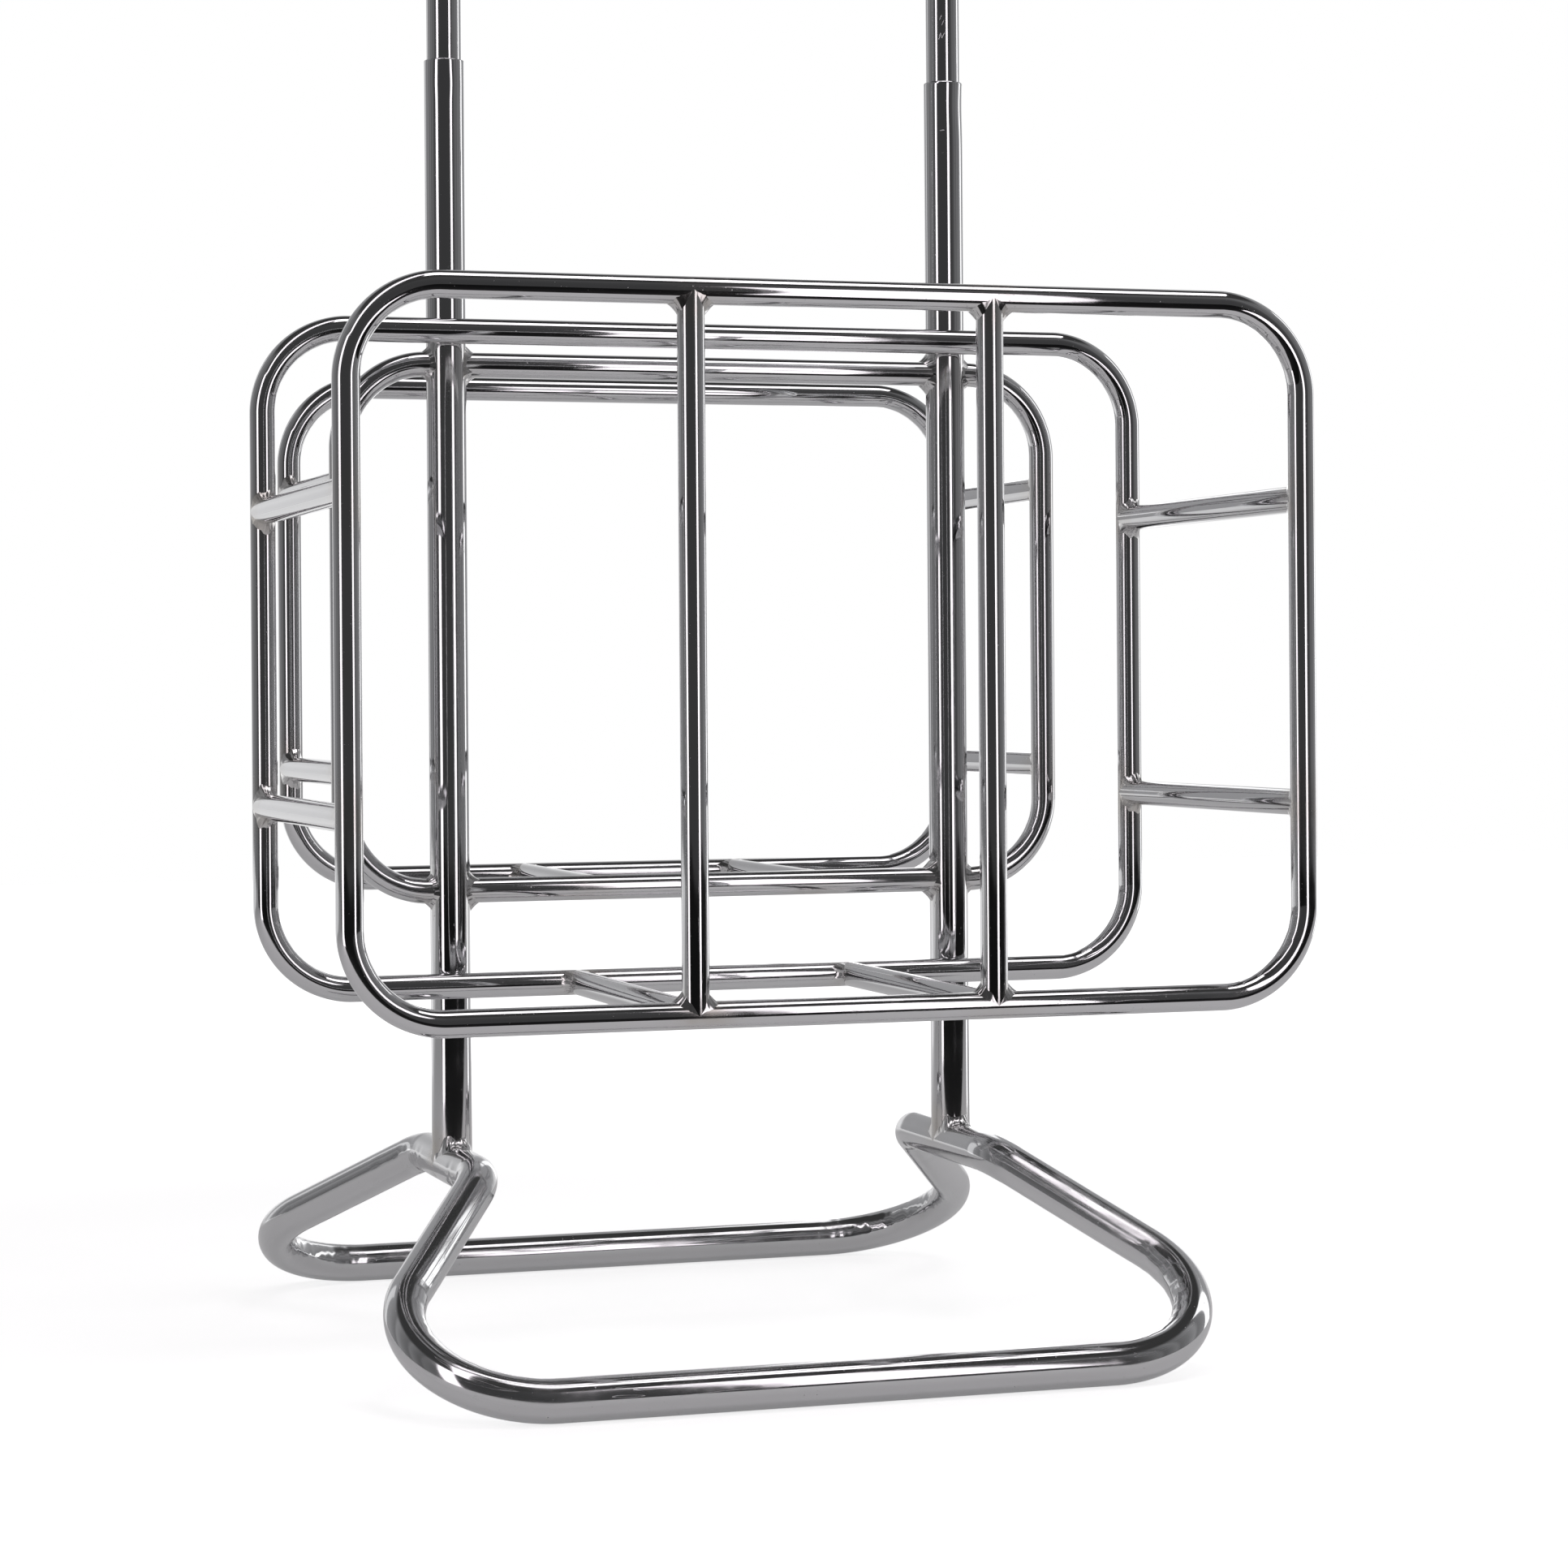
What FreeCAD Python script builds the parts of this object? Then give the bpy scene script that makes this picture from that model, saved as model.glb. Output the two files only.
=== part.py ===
import FreeCAD, Part
import Sketcher
import math
import os

from FreeCAD import Placement, Rotation, Vector

# Free-standing gauge stand for cabin baggage, made of chromed steel tube.
# X runs left to right, Y runs from the front to the rear, Z is up.
# The origin is on the floor, midway between the posts.

DIMENSIONS = [
    # posts and the tubes that slide in them
    ("post_diameter", 25.4),
    ("post_spacing", 336.6),
    ("post_top", 813.3),
    ("post_mouth_round", 0.6),
    ("slide_clearance", 0.08),
    ("upper_diameter", 22.0),
    ("upper_wall", 1.5),
    ("upper_length", 560.0),
    ("upper_top", 958.0),
    # plastic plugs in both ends of each upper tube
    ("plug_fit", 0.05),
    ("plug_stem_length", 16.0),
    ("plug_rim_height", 1.5),
    ("plug_dome_height", 3.5),
    ("bush_rim_height", 5.0),
    # clamp that holds each upper tube at its height
    ("lock_drop", 16.5),
    ("boss_diameter", 12.0),
    ("boss_height", 6.0),
    ("screw_diameter", 5.0),
    ("screw_fit", 0.05),
    ("screw_head_diameter", 8.5),
    ("screw_head_height", 5.0),
    ("screw_socket_flats", 4.0),
    ("screw_socket_depth", 2.5),
    ("screw_tip_gap", 0.3),
    ("post_hole_diameter", 6.0),
    # cage tube, used for every frame and bar of the boxes
    ("cage_diameter", 15.9),
    ("cage_wall", 1.5),
    ("cage_bend_radius", 54.0),
    ("weld_gap", 0.1),
    # front box, the larger one, between tube centre lines
    ("front_half_width", 289.5),
    ("front_bottom", 228.4),
    ("front_top", 640.3),
    ("front_frame_offset", 285.8),
    ("front_bar_offset", 90.7),
    ("front_side_bar_inset", 114.9),
    # rear box, the smaller one, between tube centre lines
    ("rear_half_width", 236.0),
    ("rear_bottom", 287.3),
    ("rear_top", 620.8),
    ("rear_frame_offset", 182.5),
    ("rear_bar_offset", 75.0),
    ("rear_side_bar_inset", 75.0),
    # base loop, between tube centre lines
    ("base_diameter", 25.4),
    ("base_wall", 1.6),
    ("base_half_width", 298.7),
    ("base_half_depth", 275.0),
    ("base_bend_radius", 74.0),
    ("saddle_height", 114.2),
    ("saddle_half_length", 79.8),
    ("saddle_bend_radius", 49.0),
]

doc = FreeCAD.newDocument("baggage_gauge")
sheet = doc.addObject("Spreadsheet::Sheet", "dims")
for row, (alias, value) in enumerate(DIMENSIONS, start=1):
    sheet.set("A%d" % row, alias)
    sheet.set("B%d" % row, "%g" % value)
    sheet.setAlias("B%d" % row, alias)
doc.recompute()

# The posts stand this far behind the origin, so that the whole stand is centred on it.
SETBACK = "( front_frame_offset + cage_diameter / 2 - base_half_depth - base_diameter / 2 ) / 2"

LEFT, RIGHT = -1, 1
SIDES = (("left", LEFT), ("right", RIGHT))
# places on a sketch's geometry, and the sketch's own axes; its origin is START of H_AXIS
START, END, CENTRE = 1, 2, 3
H_AXIS, V_AXIS = -1, -2
NEAR = 0.01

parts = []


def size(alias):
    """Value of one driving dimension."""
    return float(sheet.get(alias))


def dims(expression):
    """Expression text with every known alias taken from the sheet."""
    words = []
    for word in expression.split():
        known = any(word == alias for alias, value in DIMENSIONS)
        words.append("dims." + word if known else word)
    return " ".join(words)


def new_body(name):
    """Empty body that becomes one sub-part."""
    body = doc.addObject("PartDesign::Body", name)
    body.Label = name
    parts.append(body)
    return body


def place(obj, x="0", y="0", z="0"):
    """Bind the position of a sub-part to the sheet; y is counted from the posts' plane."""
    for axis, text in zip("xyz", (x, y + " + " + SETBACK, z)):
        obj.setExpression(".Placement.Base." + axis, dims(text))


def plane_sketch(body, role, name):
    """Sketch on one of the body's own origin planes."""
    sketch = body.newObject("Sketcher::SketchObject", name)
    plane = [f for f in body.Origin.OriginFeatures if f.Role == role][0]
    sketch.AttachmentSupport = [(plane, "")]
    sketch.MapMode = "FlatFace"
    return sketch


def bind(sketch, constraint, text):
    """Add a size constraint whose value follows the sheet."""
    index = sketch.addConstraint(constraint)
    sketch.setExpression("Constraints[%d]" % index, dims(text))
    return index


def add_line(sketch, start, end):
    """Straight edge between two points of the sketch's plane."""
    segment = Part.LineSegment(Vector(start[0], start[1], 0), Vector(end[0], end[1], 0))
    return sketch.addGeometry(segment, False)


def add_circle(sketch, radius, text, centre=(0.0, 0.0)):
    """Circle of a bound radius; it stays where its centre is pinned."""
    circle = Part.Circle(Vector(centre[0], centre[1], 0), Vector(0, 0, 1), radius)
    index = sketch.addGeometry(circle, False)
    bind(sketch, Sketcher.Constraint("Radius", index, radius), text)
    return index


def pin_point(sketch, geometry, point, x=0.0, x_text=None, y=0.0, y_text=None):
    """Pin a point of a sketch at a bound distance from the sketch origin."""
    for kind, value, text in (("DistanceX", x, x_text), ("DistanceY", y, y_text)):
        if text is None:
            anchor = V_AXIS if kind == "DistanceX" else H_AXIS
            sketch.addConstraint(Sketcher.Constraint("PointOnObject", geometry, point, anchor))
        elif value > 0:
            bind(sketch, Sketcher.Constraint(kind, H_AXIS, START, geometry, point, value), text)
        else:
            bind(sketch, Sketcher.Constraint(kind, geometry, point, H_AXIS, START, -value), text)


def round_section(body, role, name, radius, text, y=0.0, y_text=None):
    """One circle on the sketch's vertical axis."""
    sketch = plane_sketch(body, role, name)
    circle = add_circle(sketch, radius, text, (0, y))
    pin_point(sketch, circle, CENTRE, y=y, y_text=y_text)
    return sketch


def ring_section(body, role, name, outer, outer_text, wall, wall_text, y=0.0, y_text=None):
    """Tube section: two circles about one centre, on the sketch's vertical axis."""
    sketch = round_section(body, role, name, outer / 2, outer_text + " / 2", y, y_text)
    inside_text = outer_text + " / 2 - " + wall_text
    inside = add_circle(sketch, outer / 2 - wall, inside_text, (0, y))
    sketch.addConstraint(Sketcher.Constraint("Coincident", 0, CENTRE, inside, CENTRE))
    return sketch


def drill(body, role, name, radius, text, x=0.0, x_text=None, y=0.0, y_text=None, half=False):
    """Round cut square to one of the body's origin planes: right through, or its upper half only."""
    sketch = plane_sketch(body, role, name + "_sketch")
    circle = add_circle(sketch, radius, text, (x, y))
    pin_point(sketch, circle, CENTRE, x, x_text, y, y_text)
    pocket = body.newObject("PartDesign::Pocket", name)
    pocket.Profile = sketch
    pocket.Type = "ThroughAll"
    pocket.Midplane = not half
    pocket.Reversed = half
    doc.recompute()
    return pocket


def tube_loop(name, half_width, width_text, half_height, height_text):
    """Closed rounded rectangle of cage tube, upright, centred on its own origin."""
    body = new_body(name)
    bend = size("cage_bend_radius")
    w, t = half_width, half_height
    path = plane_sketch(body, "XZ_Plane", name + "_path")
    lines = [
        ((0, -t), (w - bend, -t)),
        ((w, -t + bend), (w, t - bend)),
        ((w - bend, t), (-w + bend, t)),
        ((-w, t - bend), (-w, -t + bend)),
        ((-w + bend, -t), (0, -t)),
    ]
    corners = [(w - bend, -t + bend, 270), (w - bend, t - bend, 0),
               (-w + bend, t - bend, 90), (-w + bend, -t + bend, 180)]
    rail = [add_line(path, start, end) for start, end in lines]
    turn = []
    for x, y, start in corners:
        circle = Part.Circle(Vector(x, y, 0), Vector(0, 0, 1), bend)
        arc = Part.ArcOfCircle(circle, math.radians(start), math.radians(start + 90))
        turn.append(path.addGeometry(arc, False))
    for i in range(4):
        path.addConstraint(Sketcher.Constraint("Tangent", rail[i], END, turn[i], START))
        path.addConstraint(Sketcher.Constraint("Tangent", turn[i], END, rail[i + 1], START))
    path.addConstraint(Sketcher.Constraint("Coincident", rail[4], END, rail[0], START))
    path.addConstraint(Sketcher.Constraint("PointOnObject", rail[0], START, V_AXIS))
    for i, kind in enumerate(("Horizontal", "Vertical", "Horizontal", "Vertical", "Horizontal")):
        path.addConstraint(Sketcher.Constraint(kind, rail[i]))
    for i in (1, 2, 3):
        path.addConstraint(Sketcher.Constraint("Equal", turn[0], turn[i]))
    bind(path, Sketcher.Constraint("Radius", turn[0], bend), "cage_bend_radius")
    bind(path, Sketcher.Constraint("DistanceX", H_AXIS, START, rail[1], START, w), width_text)
    bind(path, Sketcher.Constraint("DistanceX", rail[3], START, H_AXIS, START, w), width_text)
    bind(path, Sketcher.Constraint("DistanceY", rail[0], START, H_AXIS, START, t), height_text)
    bind(path, Sketcher.Constraint("DistanceY", H_AXIS, START, rail[2], START, t), height_text)
    outer = size("cage_diameter") / 2
    for kind, word, radius, text in (
            ("PartDesign::AdditivePipe", "tube", outer, "cage_diameter / 2"),
            ("PartDesign::SubtractivePipe", "bore", outer - size("cage_wall"),
             "cage_diameter / 2 - cage_wall")):
        section = round_section(body, "YZ_Plane", "%s_%s_section" % (name, word), radius, text,
                                -t, height_text)
        doc.recompute()
        pipe = body.newObject(kind, "%s_%s" % (name, word))
        pipe.Profile = section
        pipe.Spine = path
        doc.recompute()
    return body


def tube_ear(name, side, reach, reach_text, half_height, height_text):
    """C of cage tube that starts and ends on a post, whose axis is the body's own Z axis."""
    body = new_body(name)
    bend = size("cage_bend_radius")
    w, t = reach * side, half_height
    near = w - bend * side
    path = plane_sketch(body, "XZ_Plane", name + "_path")
    lines = [((0, t), (near, t)), ((w, t - bend), (w, -t + bend)), ((near, -t), (0, -t))]
    rail = [add_line(path, start, end) for start, end in lines]
    turn = []
    ends = []
    for y, start in ((t - bend, 0 if side > 0 else 90), (-t + bend, 270 if side > 0 else 180)):
        circle = Part.Circle(Vector(near, y, 0), Vector(0, 0, 1), bend)
        arc = Part.ArcOfCircle(circle, math.radians(start), math.radians(start + 90))
        turn.append(path.addGeometry(arc, False))
        ends.append((END, START) if side > 0 else (START, END))
    for i in (0, 1):
        entry, leave = ends[i]
        path.addConstraint(Sketcher.Constraint("Tangent", rail[i], END, turn[i], entry))
        path.addConstraint(Sketcher.Constraint("Tangent", turn[i], leave, rail[i + 1], START))
    for i, kind in enumerate(("Horizontal", "Vertical", "Horizontal")):
        path.addConstraint(Sketcher.Constraint(kind, rail[i]))
    path.addConstraint(Sketcher.Constraint("Equal", turn[0], turn[1]))
    path.addConstraint(Sketcher.Constraint("PointOnObject", rail[0], START, V_AXIS))
    path.addConstraint(Sketcher.Constraint("PointOnObject", rail[2], END, V_AXIS))
    bind(path, Sketcher.Constraint("Radius", turn[0], bend), "cage_bend_radius")
    if side > 0:
        bind(path, Sketcher.Constraint("DistanceX", H_AXIS, START, rail[1], START, reach), reach_text)
    else:
        bind(path, Sketcher.Constraint("DistanceX", rail[1], START, H_AXIS, START, reach), reach_text)
    bind(path, Sketcher.Constraint("DistanceY", H_AXIS, START, rail[0], START, t), height_text)
    bind(path, Sketcher.Constraint("DistanceY", rail[2], END, H_AXIS, START, t), height_text)
    section = ring_section(body, "YZ_Plane", name + "_section", size("cage_diameter"),
                           "cage_diameter", size("cage_wall"), "cage_wall", t, height_text)
    doc.recompute()
    pipe = body.newObject("PartDesign::AdditivePipe", name + "_pipe")
    pipe.Profile = section
    pipe.Spine = path
    doc.recompute()
    drill(body, "XY_Plane", name + "_cope", size("post_diameter") / 2, "post_diameter / 2")
    return body


PLANE_OF = {"X": "YZ_Plane", "Y": "XZ_Plane", "Z": "XY_Plane"}


def straight_tube(name, along, half_length, length_text, mate_axis, mate_radius, mate_text):
    """Straight cage tube, centred on its origin, with both ends coped to the tubes it meets."""
    body = new_body(name)
    section = ring_section(body, PLANE_OF[along], name + "_section", size("cage_diameter"),
                           "cage_diameter", size("cage_wall"), "cage_wall")
    pad = body.newObject("PartDesign::Pad", name + "_pad")
    pad.Profile = section
    pad.Midplane = True
    pad.Length = 2 * half_length
    pad.setExpression("Length", dims("2 * ( " + length_text + " )"))
    doc.recompute()
    # sketch axes on each origin plane: XY gives X and Y, XZ gives X and Z, YZ gives Y and Z
    first = {"XY_Plane": "X", "XZ_Plane": "X", "YZ_Plane": "Y"}[PLANE_OF[mate_axis]]
    for end, sign in (("low", -1), ("high", 1)):
        value = sign * half_length
        if first == along:
            drill(body, PLANE_OF[mate_axis], name + "_" + end, mate_radius, mate_text,
                  x=value, x_text=length_text)
        else:
            drill(body, PLANE_OF[mate_axis], name + "_" + end, mate_radius, mate_text,
                  y=value, y_text=length_text)
    return body


# --- posts and what slides in them -------------------------------------------------------

def post(name, side):
    """Outer tube: fish-mouthed onto the base at its foot, round-edged at its mouth."""
    body = new_body(name)
    bore = size("upper_diameter") / 2 + size("slide_clearance")
    wall = size("post_diameter") / 2 - bore
    section = ring_section(body, "XY_Plane", name + "_section", size("post_diameter"), "post_diameter",
                           wall, "( post_diameter / 2 - upper_diameter / 2 - slide_clearance )")
    pad = body.newObject("PartDesign::Pad", name + "_pad")
    pad.Profile = section
    pad.setExpression("Length", dims("post_top - saddle_height"))
    doc.recompute()
    drill(body, "XZ_Plane", name + "_cope", size("base_diameter") / 2, "base_diameter / 2")
    rims = []
    for index, edge in enumerate(body.Shape.Edges, start=1):
        at_mouth = edge.BoundBox.ZMin > size("post_top") - size("saddle_height") - NEAR
        is_outer = edge.BoundBox.XLength > size("post_diameter") - NEAR
        if at_mouth and is_outer:
            rims.append("Edge%d" % index)
    coped = body.Tip
    fillet = body.newObject("PartDesign::Fillet", name + "_mouth")
    fillet.Base = (coped, rims)
    fillet.setExpression("Radius", dims("post_mouth_round"))
    body.Tip = fillet
    doc.recompute()
    # hole for the clamp screw, through the rear wall only
    sketch = plane_sketch(body, "XZ_Plane", name + "_hole_sketch")
    drop = size("post_top") - size("saddle_height") - size("lock_drop")
    circle = add_circle(sketch, size("post_hole_diameter") / 2, "post_hole_diameter / 2", (0, drop))
    pin_point(sketch, circle, CENTRE, y=drop, y_text="post_top - saddle_height - lock_drop")
    hole = body.newObject("PartDesign::Pocket", name + "_hole")
    hole.Profile = sketch
    hole.Type = "Length"
    hole.setExpression("Length", dims("post_diameter"))
    before = body.Shape.Volume
    doc.recompute()
    if hole.Shape.CenterOfGravity.y > 0:
        hole.Reversed = True
        doc.recompute()
    if hole.Shape.Volume >= before:
        raise RuntimeError("the clamp screw's hole cuts nothing in " + name)
    place(body, "%d * post_spacing / 2" % side, "0", "saddle_height")
    return body


def upper_tube(name, side):
    """Inner tube that slides in the post."""
    body = new_body(name)
    section = ring_section(body, "XY_Plane", name + "_section", size("upper_diameter"),
                           "upper_diameter", size("upper_wall"), "upper_wall")
    pad = body.newObject("PartDesign::Pad", name + "_pad")
    pad.Profile = section
    pad.setExpression("Length", dims("upper_length"))
    place(body, "%d * post_spacing / 2" % side, "0", "upper_top - upper_length")
    return body


def revolved(name, outline, bindings):
    """Body turned about its own Z axis from a closed outline in the XZ plane.

    outline is a list of (x, z) corners; bindings gives each corner's two expressions.
    """
    body = new_body(name)
    sketch = plane_sketch(body, "XZ_Plane", name + "_sketch")
    count = len(outline)
    edges = [add_line(sketch, outline[i], outline[(i + 1) % count]) for i in range(count)]
    for i in range(count):
        following = edges[(i + 1) % count]
        sketch.addConstraint(Sketcher.Constraint("Coincident", edges[i], END, following, START))
    for i, (x_text, z_text) in enumerate(bindings):
        x, z = outline[i]
        pin_point(sketch, edges[i], START, x, x_text, z, z_text)
    turn = body.newObject("PartDesign::Revolution", name + "_turn")
    turn.Profile = sketch
    turn.ReferenceAxis = (sketch, ["V_Axis"])
    turn.Angle = 360
    doc.recompute()
    return body


STEM_TEXT = "upper_diameter / 2 - upper_wall - plug_fit"


def end_plug(name, side):
    """Plug in the top of an upper tube: a stem inside it and a low domed cap flush with it."""
    rim = size("upper_diameter") / 2
    stem = rim - size("upper_wall") - size("plug_fit")
    top = size("plug_rim_height")
    deep = -size("plug_stem_length")
    outline = [(0, deep), (stem, deep), (stem, 0), (rim, 0), (rim, top), (0, top)]
    bindings = [
        (None, "plug_stem_length"),
        (STEM_TEXT, "plug_stem_length"),
        (STEM_TEXT, None),
        ("upper_diameter / 2", None),
        ("upper_diameter / 2", "plug_rim_height"),
        (None, "plug_rim_height"),
    ]
    body = revolved(name, outline, bindings)
    # the dome: a flat-topped cap with a generous round
    sketch = plane_sketch(body, "XY_Plane", name + "_dome_sketch")
    circle = add_circle(sketch, rim, "upper_diameter / 2")
    pin_point(sketch, circle, CENTRE)
    dome = body.newObject("PartDesign::Pad", name + "_dome")
    dome.Profile = sketch
    dome.setExpression("Length", dims("plug_dome_height"))
    doc.recompute()
    rims = []
    for index, edge in enumerate(body.Shape.Edges, start=1):
        if edge.BoundBox.ZMin > size("plug_dome_height") - NEAR and edge.BoundBox.XLength > rim:
            rims.append("Edge%d" % index)
    fillet = body.newObject("PartDesign::Fillet", name + "_round")
    fillet.Base = (dome, rims)
    fillet.setExpression("Radius", dims("plug_dome_height - plug_rim_height"))
    body.Tip = fillet
    doc.recompute()
    place(body, "%d * post_spacing / 2" % side, "0", "upper_top")
    return body


def foot_bush(name, side):
    """Plug in the foot of an upper tube, which guides it in the post."""
    rim = size("upper_diameter") / 2
    stem = rim - size("upper_wall") - size("plug_fit")
    low = -size("bush_rim_height")
    high = size("plug_stem_length")
    outline = [(0, low), (rim, low), (rim, 0), (stem, 0), (stem, high), (0, high)]
    bindings = [
        (None, "bush_rim_height"),
        ("upper_diameter / 2", "bush_rim_height"),
        ("upper_diameter / 2", None),
        (STEM_TEXT, None),
        (STEM_TEXT, "plug_stem_length"),
        (None, "plug_stem_length"),
    ]
    body = revolved(name, outline, bindings)
    place(body, "%d * post_spacing / 2" % side, "0", "upper_top - upper_length")
    return body


def lock_boss(name, side):
    """Round boss welded on the rear of the post, which holds the clamp screw."""
    blank = doc.addObject("Part::Cylinder", name + "_blank")
    blank.setExpression("Radius", dims("boss_diameter / 2"))
    blank.setExpression("Height", dims("post_diameter / 2 + boss_height"))
    blank.Placement = Placement(Vector(0, 0, 0), Rotation(Vector(1, 0, 0), -90))
    thread = doc.addObject("Part::Cylinder", name + "_thread")
    thread.setExpression("Radius", dims("screw_diameter / 2 + screw_fit"))
    thread.setExpression("Height", dims("post_diameter + boss_height"))
    thread.Placement = Placement(Vector(0, 0, 0), Rotation(Vector(1, 0, 0), -90))
    saddle = doc.addObject("Part::Cylinder", name + "_saddle")
    saddle.setExpression("Radius", dims("post_diameter / 2"))
    saddle.setExpression("Height", dims("post_diameter * 2"))
    saddle.setExpression(".Placement.Base.z", dims("-1 * post_diameter"))
    drilled = doc.addObject("Part::Cut", name + "_drilled")
    drilled.Base = blank
    drilled.Tool = thread
    boss = doc.addObject("Part::Cut", name)
    boss.Base = drilled
    boss.Tool = saddle
    boss.Label = name
    place(boss, "%d * post_spacing / 2" % side, "0", "post_top - lock_drop")
    parts.append(boss)
    return boss


FLATS = 6


def lock_screw(name, side):
    """Socket-head screw that clamps the upper tube; its tip stands just off the tube."""
    body = new_body(name)
    head = plane_sketch(body, "XZ_Plane", name + "_head_sketch")
    circle = add_circle(head, size("screw_head_diameter") / 2, "screw_head_diameter / 2")
    pin_point(head, circle, CENTRE)
    head_pad = body.newObject("PartDesign::Pad", name + "_head")
    head_pad.Profile = head
    head_pad.Reversed = True
    head_pad.setExpression("Length", dims("screw_head_height"))
    doc.recompute()
    shank = plane_sketch(body, "XZ_Plane", name + "_shank_sketch")
    circle = add_circle(shank, size("screw_diameter") / 2, "screw_diameter / 2")
    pin_point(shank, circle, CENTRE)
    shank_pad = body.newObject("PartDesign::Pad", name + "_shank")
    shank_pad.Profile = shank
    reach = "post_diameter / 2 + boss_height - upper_diameter / 2 - screw_tip_gap"
    shank_pad.setExpression("Length", dims(reach))
    doc.recompute()
    socket = plane_sketch(body, "XZ_Plane", name + "_socket_sketch")
    corner_radius = size("screw_socket_flats") / math.sqrt(3)
    corners = []
    for i in range(FLATS):
        angle = 2 * math.pi * i / FLATS
        corners.append((corner_radius * math.cos(angle), corner_radius * math.sin(angle)))
    sides = [add_line(socket, corners[i], corners[(i + 1) % FLATS]) for i in range(FLATS)]
    for i in range(FLATS):
        following = sides[(i + 1) % FLATS]
        socket.addConstraint(Sketcher.Constraint("Coincident", sides[i], END, following, START))
    round_guide = Part.Circle(Vector(0, 0, 0), Vector(0, 0, 1), corner_radius)
    guide = socket.addGeometry(round_guide, True)
    socket.addConstraint(Sketcher.Constraint("Coincident", guide, CENTRE, H_AXIS, START))
    for i in range(FLATS):
        socket.addConstraint(Sketcher.Constraint("PointOnObject", sides[i], START, guide))
    for i in range(1, FLATS):
        socket.addConstraint(Sketcher.Constraint("Equal", sides[0], sides[i]))
    socket.addConstraint(Sketcher.Constraint("PointOnObject", sides[0], START, H_AXIS))
    bind(socket, Sketcher.Constraint("Radius", guide, corner_radius), "screw_socket_flats / sqrt(3)")
    socket.AttachmentOffset = Placement(Vector(0, 0, -size("screw_head_height")), Rotation())
    socket.setExpression(".AttachmentOffset.Base.z", dims("-1 * screw_head_height"))
    recess = body.newObject("PartDesign::Pocket", name + "_socket")
    recess.Profile = socket
    recess.Type = "Length"
    recess.setExpression("Length", dims("screw_socket_depth"))
    before = body.Shape.Volume
    doc.recompute()
    if recess.Shape.Volume >= before - NEAR:
        recess.Reversed = True
        doc.recompute()
    place(body, "%d * post_spacing / 2" % side, "post_diameter / 2 + boss_height", "post_top - lock_drop")
    return body


# --- base ----------------------------------------------------------------------------------

def rounded_path(points, radii):
    """Open wire of straight runs joined by tangent arcs, one radius for each inner point."""
    edges = []
    start = points[0]
    for i in range(1, len(points) - 1):
        corner = points[i]
        back = (points[i - 1] - corner).normalize()
        ahead = (points[i + 1] - corner).normalize()
        half = back.getAngle(ahead) / 2
        tangent = radii[i - 1] / math.tan(half)
        entry = corner + back * tangent
        leave = corner + ahead * tangent
        middle_direction = (back + ahead).normalize()
        middle = corner + middle_direction * (radii[i - 1] / math.sin(half) - radii[i - 1])
        edges.append(Part.LineSegment(start, entry).toShape())
        edges.append(Part.Arc(entry, middle, leave).toShape())
        start = leave
    edges.append(Part.LineSegment(start, points[-1]).toShape())
    return Part.Wire(edges)


def base_half(name, front):
    """Half of the base loop: a floor bar, its two bends and two legs up to the saddles.

    The halves meet end to end under the posts.
    """
    side_y = -1 if front else 1
    radius = size("base_diameter") / 2
    x_saddle = size("post_spacing") / 2
    x_floor = size("base_half_width")
    y_floor = side_y * size("base_half_depth")
    y_saddle = side_y * size("saddle_half_length")
    high = size("saddle_height")
    points = [
        Vector(-x_saddle, 0, high),
        Vector(-x_saddle, y_saddle, high),
        Vector(-x_floor, y_floor, radius),
        Vector(x_floor, y_floor, radius),
        Vector(x_saddle, y_saddle, high),
        Vector(x_saddle, 0, high),
    ]
    bend, saddle_bend = size("base_bend_radius"), size("saddle_bend_radius")
    path = rounded_path(points, [saddle_bend, bend, bend, saddle_bend])
    solids = []
    for tube_radius in (radius, radius - size("base_wall")):
        circle = Part.Circle(points[0], Vector(0, 1, 0), tube_radius).toShape()
        solids.append(path.makePipeShell([Part.Wire([circle])], True, False))
    feature = doc.addObject("Part::Feature", name)
    feature.Label = name
    feature.Shape = solids[0].cut(solids[1])
    place(feature)
    parts.append(feature)
    return feature


# --- assembly --------------------------------------------------------------------------------

def build_posts():
    """Posts, upper tubes, plugs and clamps, one set on each side."""
    for word, side in SIDES:
        post("post_" + word, side)
        upper_tube("upper_tube_" + word, side)
        end_plug("end_plug_" + word, side)
        foot_bush("foot_bush_" + word, side)
        lock_boss("lock_boss_" + word, side)
        lock_screw("lock_screw_" + word, side)


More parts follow.
